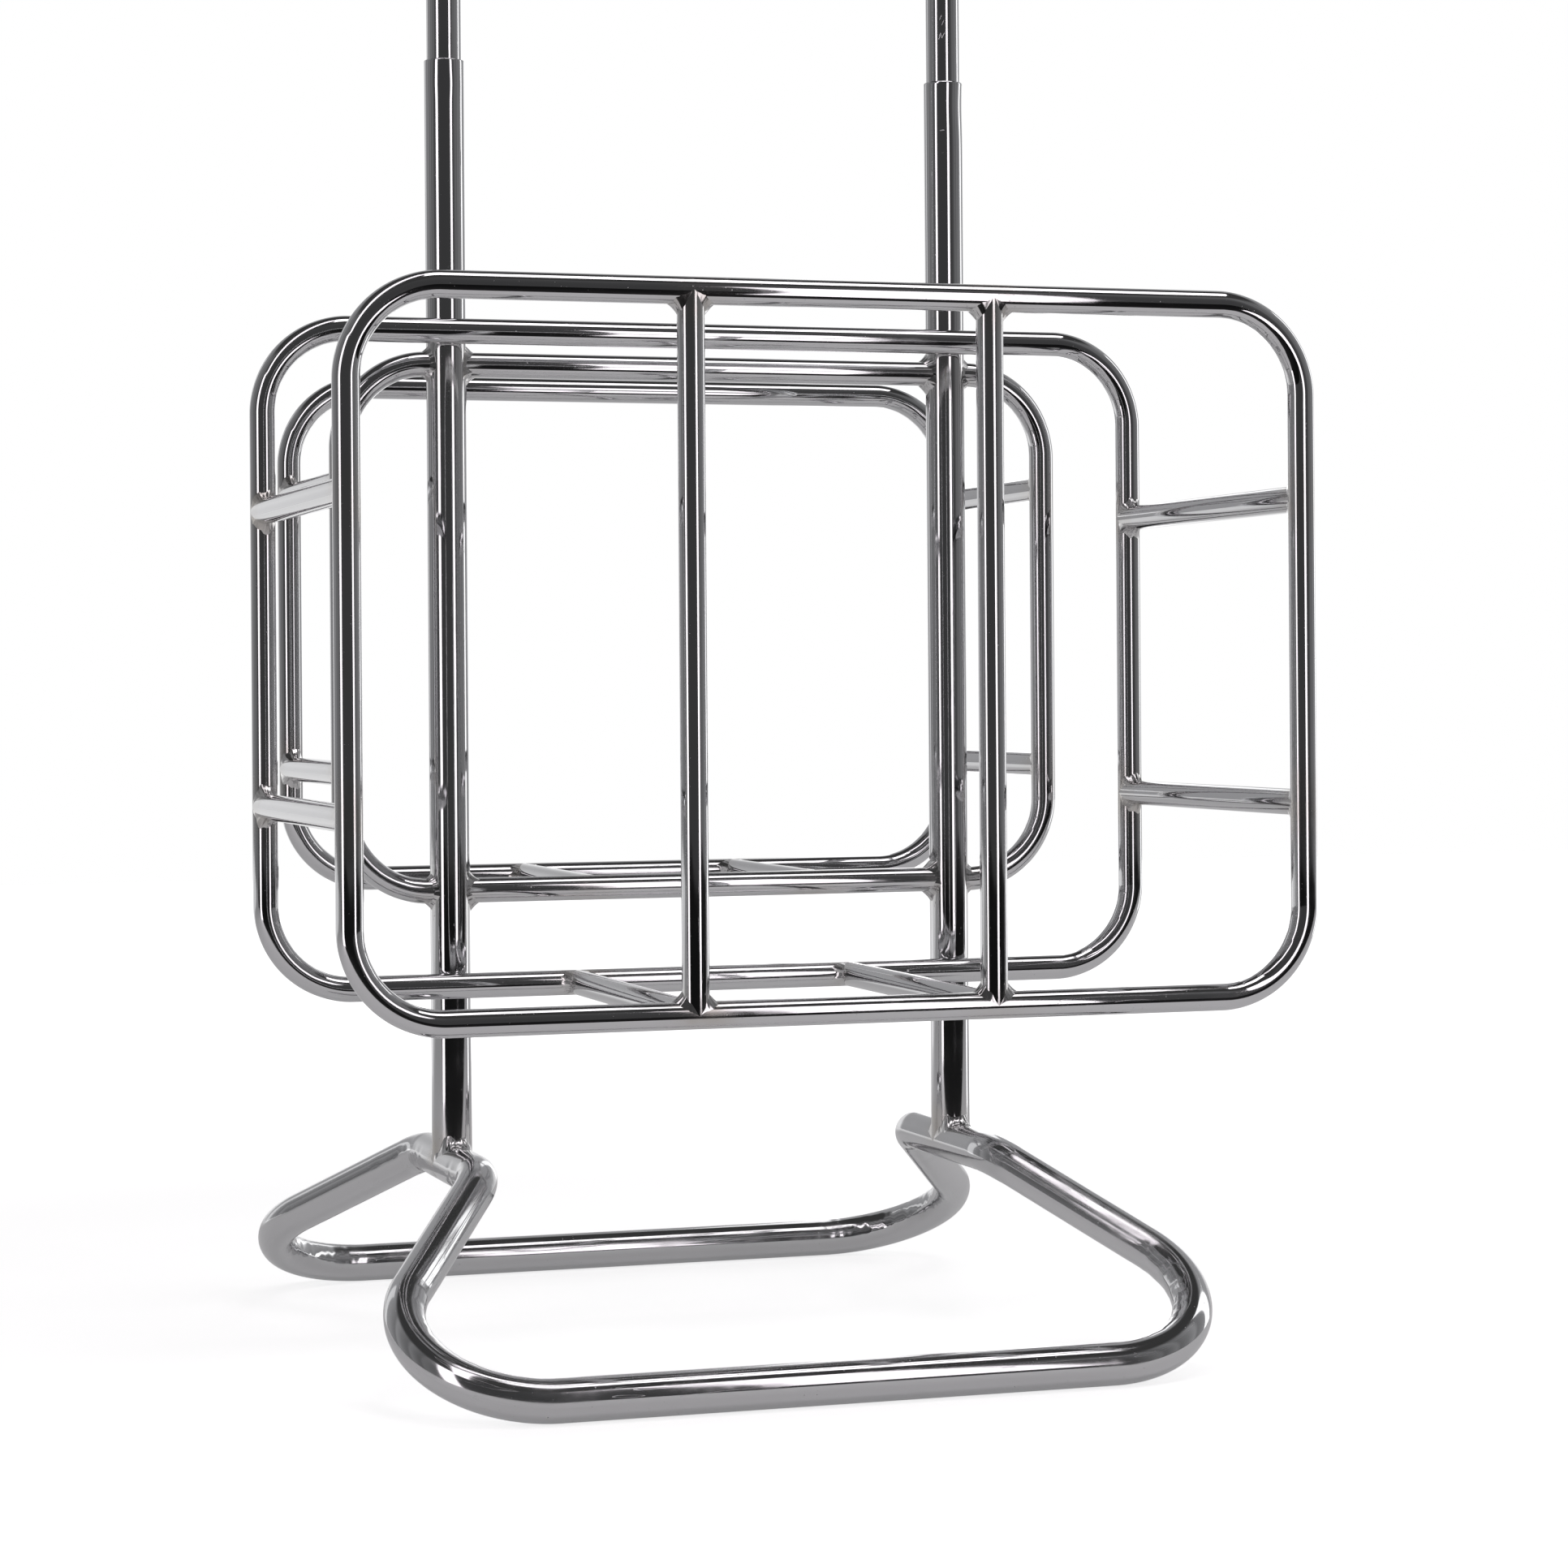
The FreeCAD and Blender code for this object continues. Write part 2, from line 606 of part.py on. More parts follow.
def build_front_box():
    """Two frames joined by side bars and floor bars, with upright bars across the front one."""
    half_width = size("front_half_width")
    half_height = (size("front_top") - size("front_bottom")) / 2
    height_text = "( front_top - front_bottom ) / 2"
    middle_text = "( front_top + front_bottom ) / 2"
    cage_radius = size("cage_diameter") / 2
    back = (size("post_diameter") + size("cage_diameter")) / 2 + size("weld_gap")
    back_text = "( ( post_diameter + cage_diameter ) / 2 + weld_gap )"
    half_depth = (size("front_frame_offset") - back) / 2
    depth_text = "( front_frame_offset - " + back_text + " ) / 2"
    centre_text = "-1 * ( front_frame_offset + " + back_text + " ) / 2"

    front = tube_loop("front_frame", half_width, "front_half_width", half_height, height_text)
    place(front, "0", "-1 * front_frame_offset", middle_text)
    middle = tube_loop("middle_frame", half_width, "front_half_width", half_height, height_text)
    place(middle, "0", "-1 * " + back_text, middle_text)

    for word, side in SIDES:
        upright = straight_tube("front_upright_" + word, "Z", half_height, height_text, "X",
                                cage_radius, "cage_diameter / 2")
        place(upright, "%d * front_bar_offset" % side, "-1 * front_frame_offset", middle_text)
        floor_bar = straight_tube("front_floor_bar_" + word, "Y", half_depth, depth_text, "X",
                                  cage_radius, "cage_diameter / 2")
        # its top is notched round the upright that stands on the same rail
        drill(floor_bar, "XY_Plane", "front_floor_bar_%s_notch" % word, cage_radius,
              "cage_diameter / 2", y=-half_depth, y_text=depth_text, half=True)
        place(floor_bar, "%d * front_bar_offset" % side, centre_text, "front_bottom")
        for level, height in (("upper", "front_top - front_side_bar_inset"),
                              ("lower", "front_bottom + front_side_bar_inset")):
            side_bar = straight_tube("front_side_bar_%s_%s" % (level, word), "Y", half_depth,
                                     depth_text, "Z", cage_radius, "cage_diameter / 2")
            place(side_bar, "%d * front_half_width" % side, centre_text, height)


def build_rear_box():
    """A frame let into the posts, a frame behind it, and the bars that join them."""
    half_width = size("rear_half_width")
    half_height = (size("rear_top") - size("rear_bottom")) / 2
    height_text = "( rear_top - rear_bottom ) / 2"
    middle_text = "( rear_top + rear_bottom ) / 2"
    cage_radius = size("cage_diameter") / 2
    half_spacing = size("post_spacing") / 2
    half_depth = size("rear_frame_offset") / 2

    frame = tube_loop("rear_frame", half_width, "rear_half_width", half_height, height_text)
    place(frame, "0", "rear_frame_offset", middle_text)

    for level, height in (("upper", "rear_top"), ("lower", "rear_bottom")):
        rail = straight_tube("post_rail_" + level, "X", half_spacing, "post_spacing / 2", "Z",
                             size("post_diameter") / 2, "post_diameter / 2")
        place(rail, "0", "0", height)

    for word, side in SIDES:
        ear = tube_ear("post_ear_" + word, side, half_width - half_spacing,
                       "rear_half_width - post_spacing / 2", half_height, height_text)
        place(ear, "%d * post_spacing / 2" % side, "0", middle_text)
        # the floor bars meet the rails between the posts
        floor_bar = straight_tube("rear_floor_bar_" + word, "Y", half_depth, "rear_frame_offset / 2",
                                  "X", cage_radius, "cage_diameter / 2")
        place(floor_bar, "%d * rear_bar_offset" % side, "rear_frame_offset / 2", "rear_bottom")
        for level, height in (("upper", "rear_top - rear_side_bar_inset"),
                              ("lower", "rear_bottom + rear_side_bar_inset")):
            side_bar = straight_tube("rear_side_bar_%s_%s" % (level, word), "Y", half_depth,
                                     "rear_frame_offset / 2", "Z", cage_radius, "cage_diameter / 2")
            place(side_bar, "%d * rear_half_width" % side, "rear_frame_offset / 2", height)


def check_document():
    """Stop if any object failed or any sub-part has no sound solid."""
    for obj in doc.Objects:
        bad = [word for word in obj.State if word in ("Invalid", "Error")]
        if bad:
            raise RuntimeError("%s is %s" % (obj.Name, bad))
    for part in parts:
        shape = part.Shape
        if shape.isNull() or not shape.isValid() or len(shape.Solids) != 1:
            raise RuntimeError("%s has no single sound solid" % part.Label)


def write_parts():
    """Write each sub-part to its own file."""
    os.makedirs("parts", exist_ok=True)
    for part in parts:
        part.Shape.exportStep("parts/%s.step" % part.Label)


base_half("base_loop_front", True)
base_half("base_loop_rear", False)
build_posts()
build_front_box()
build_rear_box()
doc.recompute()
check_document()
write_parts()
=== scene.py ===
"""Chromed gauge stand for cabin baggage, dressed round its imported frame.

Every tube is swept along its own centre line with the flats, wrinkles and dents that bending and
handling leave in it, every joint has its weld bead, and every surface has a procedural finish.
All lengths are in metres.
"""
import logging
import math
from dataclasses import dataclass
from enum import Enum
from functools import cache
from typing import Iterable, Optional, Sequence, Union

import bpy
import numpy as np
from mathutils import Euler, Matrix, Vector


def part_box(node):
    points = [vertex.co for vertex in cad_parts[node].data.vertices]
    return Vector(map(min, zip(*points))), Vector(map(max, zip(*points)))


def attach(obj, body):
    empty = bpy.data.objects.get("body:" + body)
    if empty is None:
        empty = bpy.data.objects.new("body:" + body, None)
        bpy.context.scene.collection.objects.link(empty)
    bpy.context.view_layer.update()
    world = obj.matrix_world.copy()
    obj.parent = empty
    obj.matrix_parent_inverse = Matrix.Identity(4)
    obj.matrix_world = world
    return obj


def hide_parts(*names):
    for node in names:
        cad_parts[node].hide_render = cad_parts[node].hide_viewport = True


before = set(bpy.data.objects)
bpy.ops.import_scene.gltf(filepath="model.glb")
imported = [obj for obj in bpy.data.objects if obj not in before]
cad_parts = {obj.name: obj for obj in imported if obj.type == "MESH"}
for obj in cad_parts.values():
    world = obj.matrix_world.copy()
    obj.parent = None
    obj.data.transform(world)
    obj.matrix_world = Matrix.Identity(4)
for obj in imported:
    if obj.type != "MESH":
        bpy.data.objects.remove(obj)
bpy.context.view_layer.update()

log = logging.getLogger("gauge_stand")

MM = 0.001
TURN = 2.0 * math.pi
Grid = np.ndarray
Socket = bpy.types.NodeSocket


# --- named choices ---------------------------------------------------------------------------

class Body(Enum):
    """Bodies of the frame that pieces ride on."""

    FRAME = "frame"
    MAST_LEFT = "mast_left"
    MAST_RIGHT = "mast_right"


class Slot(Enum):
    """Material slots of the record."""

    BASE = "base_chrome"
    POST = "post_chrome"
    UPPER = "upper_tube_chrome"
    CAGE = "cage_chrome"
    PLUG = "plug_plastic"
    BUSH = "bush_plastic"
    SCREW = "screw_steel"


class Side(Enum):
    """The two halves of the stand, seen from the front."""

    LEFT = -1
    RIGHT = 1

    @property
    def word(self) -> str:
        """Word that ends the names of this side's nodes."""
        return self.name.lower()

    @property
    def mast(self) -> Body:
        """Body of this side's sliding tube."""
        return Body.MAST_LEFT if self is Side.LEFT else Body.MAST_RIGHT


class Level(Enum):
    """Lower and upper rails and side bars."""

    LOWER = "lower"
    UPPER = "upper"


# --- measures taken from the frame -----------------------------------------------------------

def span(node: str, axis: int) -> tuple[float, float]:
    """Lowest and highest coordinate of a node along one axis."""
    low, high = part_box(node)
    return low[axis], high[axis]


def middle(node: str, axis: int) -> float:
    """Middle of a node along one axis."""
    low, high = span(node, axis)
    return (low + high) / 2


def half(node: str, axis: int) -> float:
    """Half of a node's size along one axis."""
    low, high = span(node, axis)
    return (high - low) / 2


@dataclass(frozen=True)
class Layout:
    """Centre lines and radii of the tubes, as the frame holds them."""

    post_radius: float = half("post_left", 0)
    post_y: float = middle("post_left", 1)
    post_top: float = span("post_left", 2)[1]
    cage_radius: float = half("front_upright_left", 0)
    base_radius: float = half("post_left", 0)
    front_y: float = middle("front_frame", 1)
    middle_y: float = middle("middle_frame", 1)
    rear_y: float = middle("rear_frame", 1)
    front_bar_x: float = middle("front_upright_right", 0)
    rear_bar_x: float = middle("rear_floor_bar_right", 0)

    @property
    def saddle_z(self) -> float:
        """Height of the base tube's axis under the posts."""
        return span("base_loop_front", 2)[1] - self.base_radius

    def post_x(self, side: Side) -> float:
        """Where a post stands."""
        return middle("post_" + side.word, 0)

    def half_width(self, node: str) -> float:
        """Half of a frame's width between centre lines."""
        return half(node, 0) - self.cage_radius

    def rail_z(self, node: str, level: Level) -> float:
        """Height of a frame's lower or upper rail."""
        low, high = span(node, 2)
        return low + self.cage_radius if level is Level.LOWER else high - self.cage_radius


# --- curves and meshes -----------------------------------------------------------------------

WAVE_PACES = (1.0, 0.61, 1.47, 2.3)
WAVE_SHARES = (0.45, 0.3, 0.25, 0.15)


def irregular(value: Grid, wavelength: float, seed: int) -> Grid:
    """Uneven wave between about -1 and 1.

    Args:
        value: Distances at which to read the wave.
        wavelength: Its mean wavelength, in the same unit.
        seed: Number that picks the phases.

    Returns:
        One wave height for each distance.
    """
    phases = np.random.default_rng(seed).uniform(0.0, TURN, len(WAVE_PACES))
    total = np.zeros_like(value)
    for phase, pace, share in zip(phases, WAVE_PACES, WAVE_SHARES):
        total = total + share * np.sin(TURN * value * pace / wavelength + phase)
    return total


def smooth(value: Grid) -> Grid:
    """Smooth step from 0 to 1."""
    held = np.clip(value, 0.0, 1.0)
    return held * held * (3.0 - 2.0 * held)


class Centreline:
    """Centre line of a tube: straight runs joined by tangent arcs.

    RAMP is the share of a bend over which its marks grow and fade.
    """

    SAMPLE = 0.4 * MM
    LEAST_ON_RUN = 2
    LEAST_ON_ARC = 8
    RAMP = 0.22

    def __init__(self, corners: Sequence[Sequence[float]], radii: Sequence[float],
                 first_normal: Sequence[float], closed: bool = False) -> None:
        """Sample the line finely and carry a cross-section frame along it.

        Args:
            corners: Corner points; a closed line starts and ends half way along its first run.
            radii: Bend radius at each inner corner, or at each corner of a closed line.
            first_normal: Direction of angle 0 on the first cross-section.
            closed: Whether the line comes back to its start.
        """
        self.closed = closed
        points = [Vector(corner) for corner in corners]
        if closed:
            start = (points[-1] + points[0]) / 2
            points = [start] + points + [start]
        places: list[Vector] = []
        tangents: list[Vector] = []
        bends: list[float] = []
        inwards: list[Vector] = []

        def run(begin: Vector, end: Vector) -> None:
            """Samples of a straight run, without its last point.

            Args:
                begin: Where the run starts.
                end: Where it ends.
            """
            count = max(self.LEAST_ON_RUN, round((end - begin).length / self.SAMPLE))
            for index in range(count):
                places.append(begin.lerp(end, index / count))
                tangents.append((end - begin).normalized())
                bends.append(0.0)
                inwards.append(Vector())

        position = points[0]
        for index in range(1, len(points) - 1):
            corner = points[index]
            back = (points[index - 1] - corner).normalized()
            ahead = (points[index + 1] - corner).normalized()
            radius = radii[index - 1]
            opening = back.angle(ahead) / 2
            entry = corner + back * (radius / math.tan(opening))
            leave = corner + ahead * (radius / math.tan(opening))
            centre = corner + (back + ahead).normalized() * (radius / math.sin(opening))
            run(position, entry)
            angle = math.pi - 2 * opening
            outward = (entry - centre).normalized()
            count = max(self.LEAST_ON_ARC, round(angle * radius / self.SAMPLE))
            for step in range(count):
                share = step / count
                turned = outward * math.cos(angle * share) - back * math.sin(angle * share)
                places.append(centre + turned * radius)
                tangents.append((-back * math.cos(angle * share)
                                 - outward * math.sin(angle * share)).normalized())
                bends.append(min(1.0, share / self.RAMP, (1.0 - share) / self.RAMP))
                inwards.append(-turned)
            position = leave
        run(position, points[-1])
        places.append(points[-1])
        tangents.append(tangents[-1])
        bends.append(0.0)
        inwards.append(Vector())

        normals = [(Vector(first_normal) - tangents[0] * tangents[0].dot(Vector(first_normal)))
                   .normalized()]
        for before, after in zip(tangents, tangents[1:]):
            normals.append(before.rotation_difference(after) @ normals[-1])
        self.points = np.array(places)
        self.tangents = np.array(tangents)
        self.normals = np.array(normals)
        self.binormals = np.cross(self.tangents, self.normals)
        self.inwards = np.array(inwards)
        self.bends = smooth(np.array(bends))
        steps = np.linalg.norm(np.diff(self.points, axis=0), axis=1)
        self.travel = np.concatenate(([0.0], np.cumsum(steps)))

    @property
    def length(self) -> float:
        """Length of the line."""
        return float(self.travel[-1])

    def read(self, table: Grid, travel: Grid) -> Grid:
        """Value of a table of samples at any distances along the line.

        Args:
            table: One value or vector for each sample of the line.
            travel: Distances to read at.

        Returns:
            One value or vector for each distance.
        """
        if table.ndim == 1:
            return np.interp(travel, self.travel, table)
        return np.stack([np.interp(travel, self.travel, table[:, k]) for k in range(3)], axis=-1)

    def stations(self, coarse: float, fine: float) -> Grid:
        """Distances of the cross-sections, closer together in the bends.

        Args:
            coarse: Spacing on straight runs.
            fine: Spacing in bends.

        Returns:
            Rising distances; a closed line's last one is left out, because it is the first.
        """
        spacing = np.where(self.bends > 0.0, fine, coarse)
        counted = np.concatenate(([0.0], np.cumsum(np.diff(self.travel) / spacing[:-1])))
        count = int(math.ceil(counted[-1]))
        found = np.interp(np.linspace(0.0, counted[-1], count + 1), counted, self.travel)
        return found[:-1] if self.closed else found


@dataclass(frozen=True)
class Cope:
    """End of a tube, cut to sit on a round tube whose axis the centre line meets."""

    mate_radius: float
    mate_axis: tuple[float, float, float]
    blend: float = 20 * MM


@dataclass(frozen=True)
class Dent:
    """Shallow hollow, pressed into a tube where its wall faces a direction."""

    travel: float
    facing: tuple[float, float, float]
    depth: float
    length: float
    width: float


@dataclass(frozen=True)
class Wear:
    """Marks that bending leaves in a tube."""

    flattening: float = 0.0
    wrinkle_depth: float = 0.0
    wrinkle_pitch: float = 8 * MM
    reach: float = 10 * MM
    seed: int = 1


class MeshGrid:
    """Vertices on one or more rectangular grids, with the faces between them."""

    def __init__(self) -> None:
        """Start with nothing."""
        self.vertices: list[Grid] = []
        self.faces: list[Grid] = []
        self.tube_space: list[Grid] = []
        self.count = 0

    def add_grid(self, places: Grid, straightened: Optional[Grid] = None, wrap_rows: bool = False,
                 flip: bool = False) -> Grid:
        """Add a grid of vertices, closed round its columns.

        Args:
            places: Positions, rows by columns by 3.
            straightened: Position of each vertex on the tube as if it were straight.
            wrap_rows: Whether the last row joins the first.
            flip: Whether the faces look the other way.

        Returns:
            Index of each vertex, rows by columns.
        """
        rows, columns = places.shape[:2]
        index = np.arange(rows * columns).reshape(rows, columns) + self.count
        self.vertices.append(places.reshape(-1, 3))
        spread = places if straightened is None else straightened
        self.tube_space.append(spread.reshape(-1, 3))
        self.count += rows * columns
        below = index if wrap_rows else index[:-1]
        above = np.roll(index, -1, axis=0) if wrap_rows else index[1:]
        self.add_faces(below, above, flip)
        return index

    def add_faces(self, below: Grid, above: Grid, flip: bool = False) -> None:
        """Join rows of vertices with quads, closed round the columns.

        Args:
            below: Vertices of the lower rows.
            above: Vertices of the upper rows.
            flip: Whether the faces look the other way.
        """
        quads = np.stack([below, np.roll(below, -1, axis=-1), np.roll(above, -1, axis=-1), above],
                         axis=-1)
        quads = quads.reshape(-1, 4)
        self.faces.append(quads[:, ::-1] if flip else quads)

    def add_cap(self, ring: Grid, flip: bool = False) -> None:
        """Close a ring of vertices with one vertex at its middle.

        Args:
            ring: Vertices of the ring.
            flip: Whether the faces look the other way.
        """
        places = np.concatenate(self.vertices)
        spread = np.concatenate(self.tube_space)
        self.vertices.append(places[ring].mean(axis=0, keepdims=True))
        self.tube_space.append(spread[ring].mean(axis=0, keepdims=True))
        centre = np.full(len(ring), self.count)
        self.count += 1
        triangles = np.stack([ring, np.roll(ring, -1), centre], axis=-1)
        self.faces.append(triangles[:, ::-1] if flip else triangles)

    def mesh(self, name: str, sharp_angle: float = 40.0) -> bpy.types.Mesh:
        """Finished mesh, smooth but for its sharp edges, with the attributes the finishes read.

        Args:
            name: Name of the mesh.
            sharp_angle: Edges that turn by more degrees than this stay sharp.

        Returns:
            The mesh.
        """
        places = np.concatenate(self.vertices)
        made = bpy.data.meshes.new(name)
        corners = [face for block in self.faces for face in block.tolist()]
        made.from_pydata(places.tolist(), [], corners)
        made.validate()
        made.polygons.foreach_set("use_smooth", np.ones(len(made.polygons), dtype=bool))
        made.set_sharp_from_angle(angle=math.radians(sharp_angle))
        spread = made.attributes.new("tube_space", "FLOAT_VECTOR", "POINT")
        straightened = np.concatenate(self.tube_space).astype(np.float32)
        spread.data.foreach_set("vector", straightened.ravel())
        seam = made.attributes.new("seam", "FLOAT", "POINT")
        seam.data.foreach_set("value", Joint.closeness(places).astype(np.float32))
        made.update()
        return made


class TubeSkin:
    """Wall of a tube swept along a centre line.

    A flattened bend stands out by OVAL_SIDE of its flattening at its sides, and sinks by OVAL_DIP
    less OVAL_SIDE of it on its inner and outer faces. Folds start where the wall faces the bend's
    centre by more than FOLD_START / FOLD_GAIN.
    """

    OVAL_SIDE = 0.5
    OVAL_DIP = 1.5
    FOLD_GAIN = 1.35
    FOLD_START = 0.2
    END_ROWS = 5

    def __init__(self, line: Centreline, radius: float, segments: int = 56, coarse: float = 6 * MM,
                 fine: float = 1.6 * MM) -> None:
        """Lay out the cross-sections.

        Args:
            line: Centre line of the tube.
            radius: Outer radius.
            segments: Vertices round each cross-section.
            coarse: Spacing of the cross-sections on straight runs.
            fine: Spacing in bends.
        """
        self.line = line
        self.radius = radius
        self.angles = np.arange(segments) * TURN / segments
        stations = line.stations(coarse, fine)
        self.travel = np.repeat(stations[:, None], segments, axis=1)
        self.offset = np.zeros_like(self.travel)

    def directions(self) -> Grid:
        """Outward direction at each vertex.

        Returns:
            One unit vector for each vertex.
        """
        normals = self.line.read(self.line.normals, self.travel)
        binormals = self.line.read(self.line.binormals, self.travel)
        angles = self.angles[None, :, None]
        return normals * np.cos(angles) + binormals * np.sin(angles)

    def cope(self, cut: Cope, at_end: bool) -> None:
        """Draw one end back so that it sits on the tube it meets.

        Args:
            cut: Shape of the cut.
            at_end: Whether it is the far end.
        """
        axis = np.array(cut.mate_axis)
        tangent = self.line.tangents[-1 if at_end else 0]
        across = np.cross(axis, tangent)
        facing = self.directions()[-1 if at_end else 0] @ (across / np.linalg.norm(across))
        gap = np.sqrt(np.maximum(cut.mate_radius ** 2 - (self.radius * facing) ** 2, 0.0))
        distance = self.line.length - self.travel if at_end else self.travel
        share = np.clip(distance / cut.blend, 0.0, 1.0)
        moved = np.where(distance < cut.blend, gap + (cut.blend - gap) * share, distance)
        self.travel = self.line.length - moved if at_end else moved

    def press(self, dent: Dent) -> None:
        """Press a shallow hollow into the wall.

        Args:
            dent: Place and size of the hollow.
        """
        facing = np.clip(self.directions() @ np.array(dent.facing), -1.0, 1.0)
        around = np.arccos(facing) / dent.width
        along = (self.travel - dent.travel) / dent.length
        self.offset -= dent.depth * np.exp(-0.5 * (around ** 2 + along ** 2))

    def bend_marks(self, wear: Wear) -> None:
        """Flatten the wall in the bends and wrinkle its inner side in them and beside them.

        Args:
            wear: Size of the marks.
        """
        weight, facing = self.bend_near(0.0)
        flat = wear.flattening * self.radius * weight
        self.offset += flat * (self.OVAL_SIDE - self.OVAL_DIP * facing ** 2)
        ripple = (1.0 + irregular(self.travel, wear.wrinkle_pitch, wear.seed)) / 2
        folds = np.zeros_like(self.travel)
        for reach in (0.0, -wear.reach, wear.reach):
            weight, facing = self.bend_near(reach)
            inner = smooth(facing * self.FOLD_GAIN - self.FOLD_START)
            folds = np.maximum(folds, weight * inner)
        self.offset -= wear.wrinkle_depth * folds * ripple

    def bend_near(self, reach: float) -> tuple[Grid, Grid]:
        """How bent the tube is a distance further on, and how far the wall faces that bend.

        Args:
            reach: The distance, below zero to look back.

        Returns:
            Share of the full bend, and cosine between the wall and the way to the bend's centre.
        """
        travel = np.clip(self.travel + reach, 0.0, self.line.length)
        inward = self.line.read(self.line.inwards, travel)
        return self.line.read(self.line.bends, travel), np.sum(self.directions() * inward, axis=-1)

    def round_end(self, radius: float) -> None:
        """Round the outer edge of the far end with a few close cross-sections.

        Args:
            radius: Radius of the edge.
        """
        steps = np.linspace(0.0, math.pi / 2, self.END_ROWS)
        travel = self.line.length - radius * (1.0 - np.sin(steps))
        drop = -radius * (1.0 - np.cos(steps))
        columns = len(self.angles)
        self.travel = np.vstack([self.travel[:-1], np.repeat(travel[:, None], columns, axis=1)])
        self.offset = np.vstack([self.offset[:-1], np.repeat(drop[:, None], columns, axis=1)])

    def surface(self, inset: float = 0.0) -> tuple[Grid, Grid]:
        """Positions of the wall's vertices, in place and as if the tube were straight.

        Args:
            inset: Depth below the outer wall.

        Returns:
            Both sets of positions, rows by columns by 3.
        """
        reach = self.radius + self.offset - inset
        places = self.line.read(self.line.points, self.travel)
        places = places + self.directions() * reach[..., None]
        straightened = np.stack([self.radius * np.cos(self.angles) + 0 * self.travel,
                                 self.radius * np.sin(self.angles) + 0 * self.travel,
                                 self.travel], axis=-1)
        return places, straightened

    def loop(self) -> MeshGrid:
        """Closed tube without ends.

        Returns:
            The grid, with its last row joined to its first.
        """
        grid = MeshGrid()
        grid.add_grid(*self.surface(), wrap_rows=True)
        return grid

    def pipe(self, wall: float) -> MeshGrid:
        """Open tube with a bore: outer wall, inner wall and the two end faces.

        Args:
            wall: Thickness of the wall.

        Returns:
            The grid.
        """
        grid = MeshGrid()
        outer = grid.add_grid(*self.surface())
        inner = grid.add_grid(*self.surface(wall), flip=True)
        grid.add_faces(outer[0], inner[0], flip=True)
        grid.add_faces(outer[-1], inner[-1])
        return grid


# --- joints ----------------------------------------------------------------------------------

class Joint:
    """Places where tubes are welded together, for the tarnish round them."""

    places: list[tuple[float, float, float]] = []
    CORE = 8 * MM
    REACH = 24 * MM

    @classmethod
    def closeness(cls, points: Grid) -> Grid:
        """How near each point is to a joint, from 0 to 1.

        Args:
            points: Positions, one to a row.

        Returns:
            One value for each point.
        """
        if not cls.places:
            return np.zeros(len(points))
        nearest = np.full(len(points), np.inf)
        for place in cls.places:
            nearest = np.minimum(nearest, np.linalg.norm(points - np.array(place), axis=1))
        return smooth(1.0 - (nearest - cls.CORE) / cls.REACH)


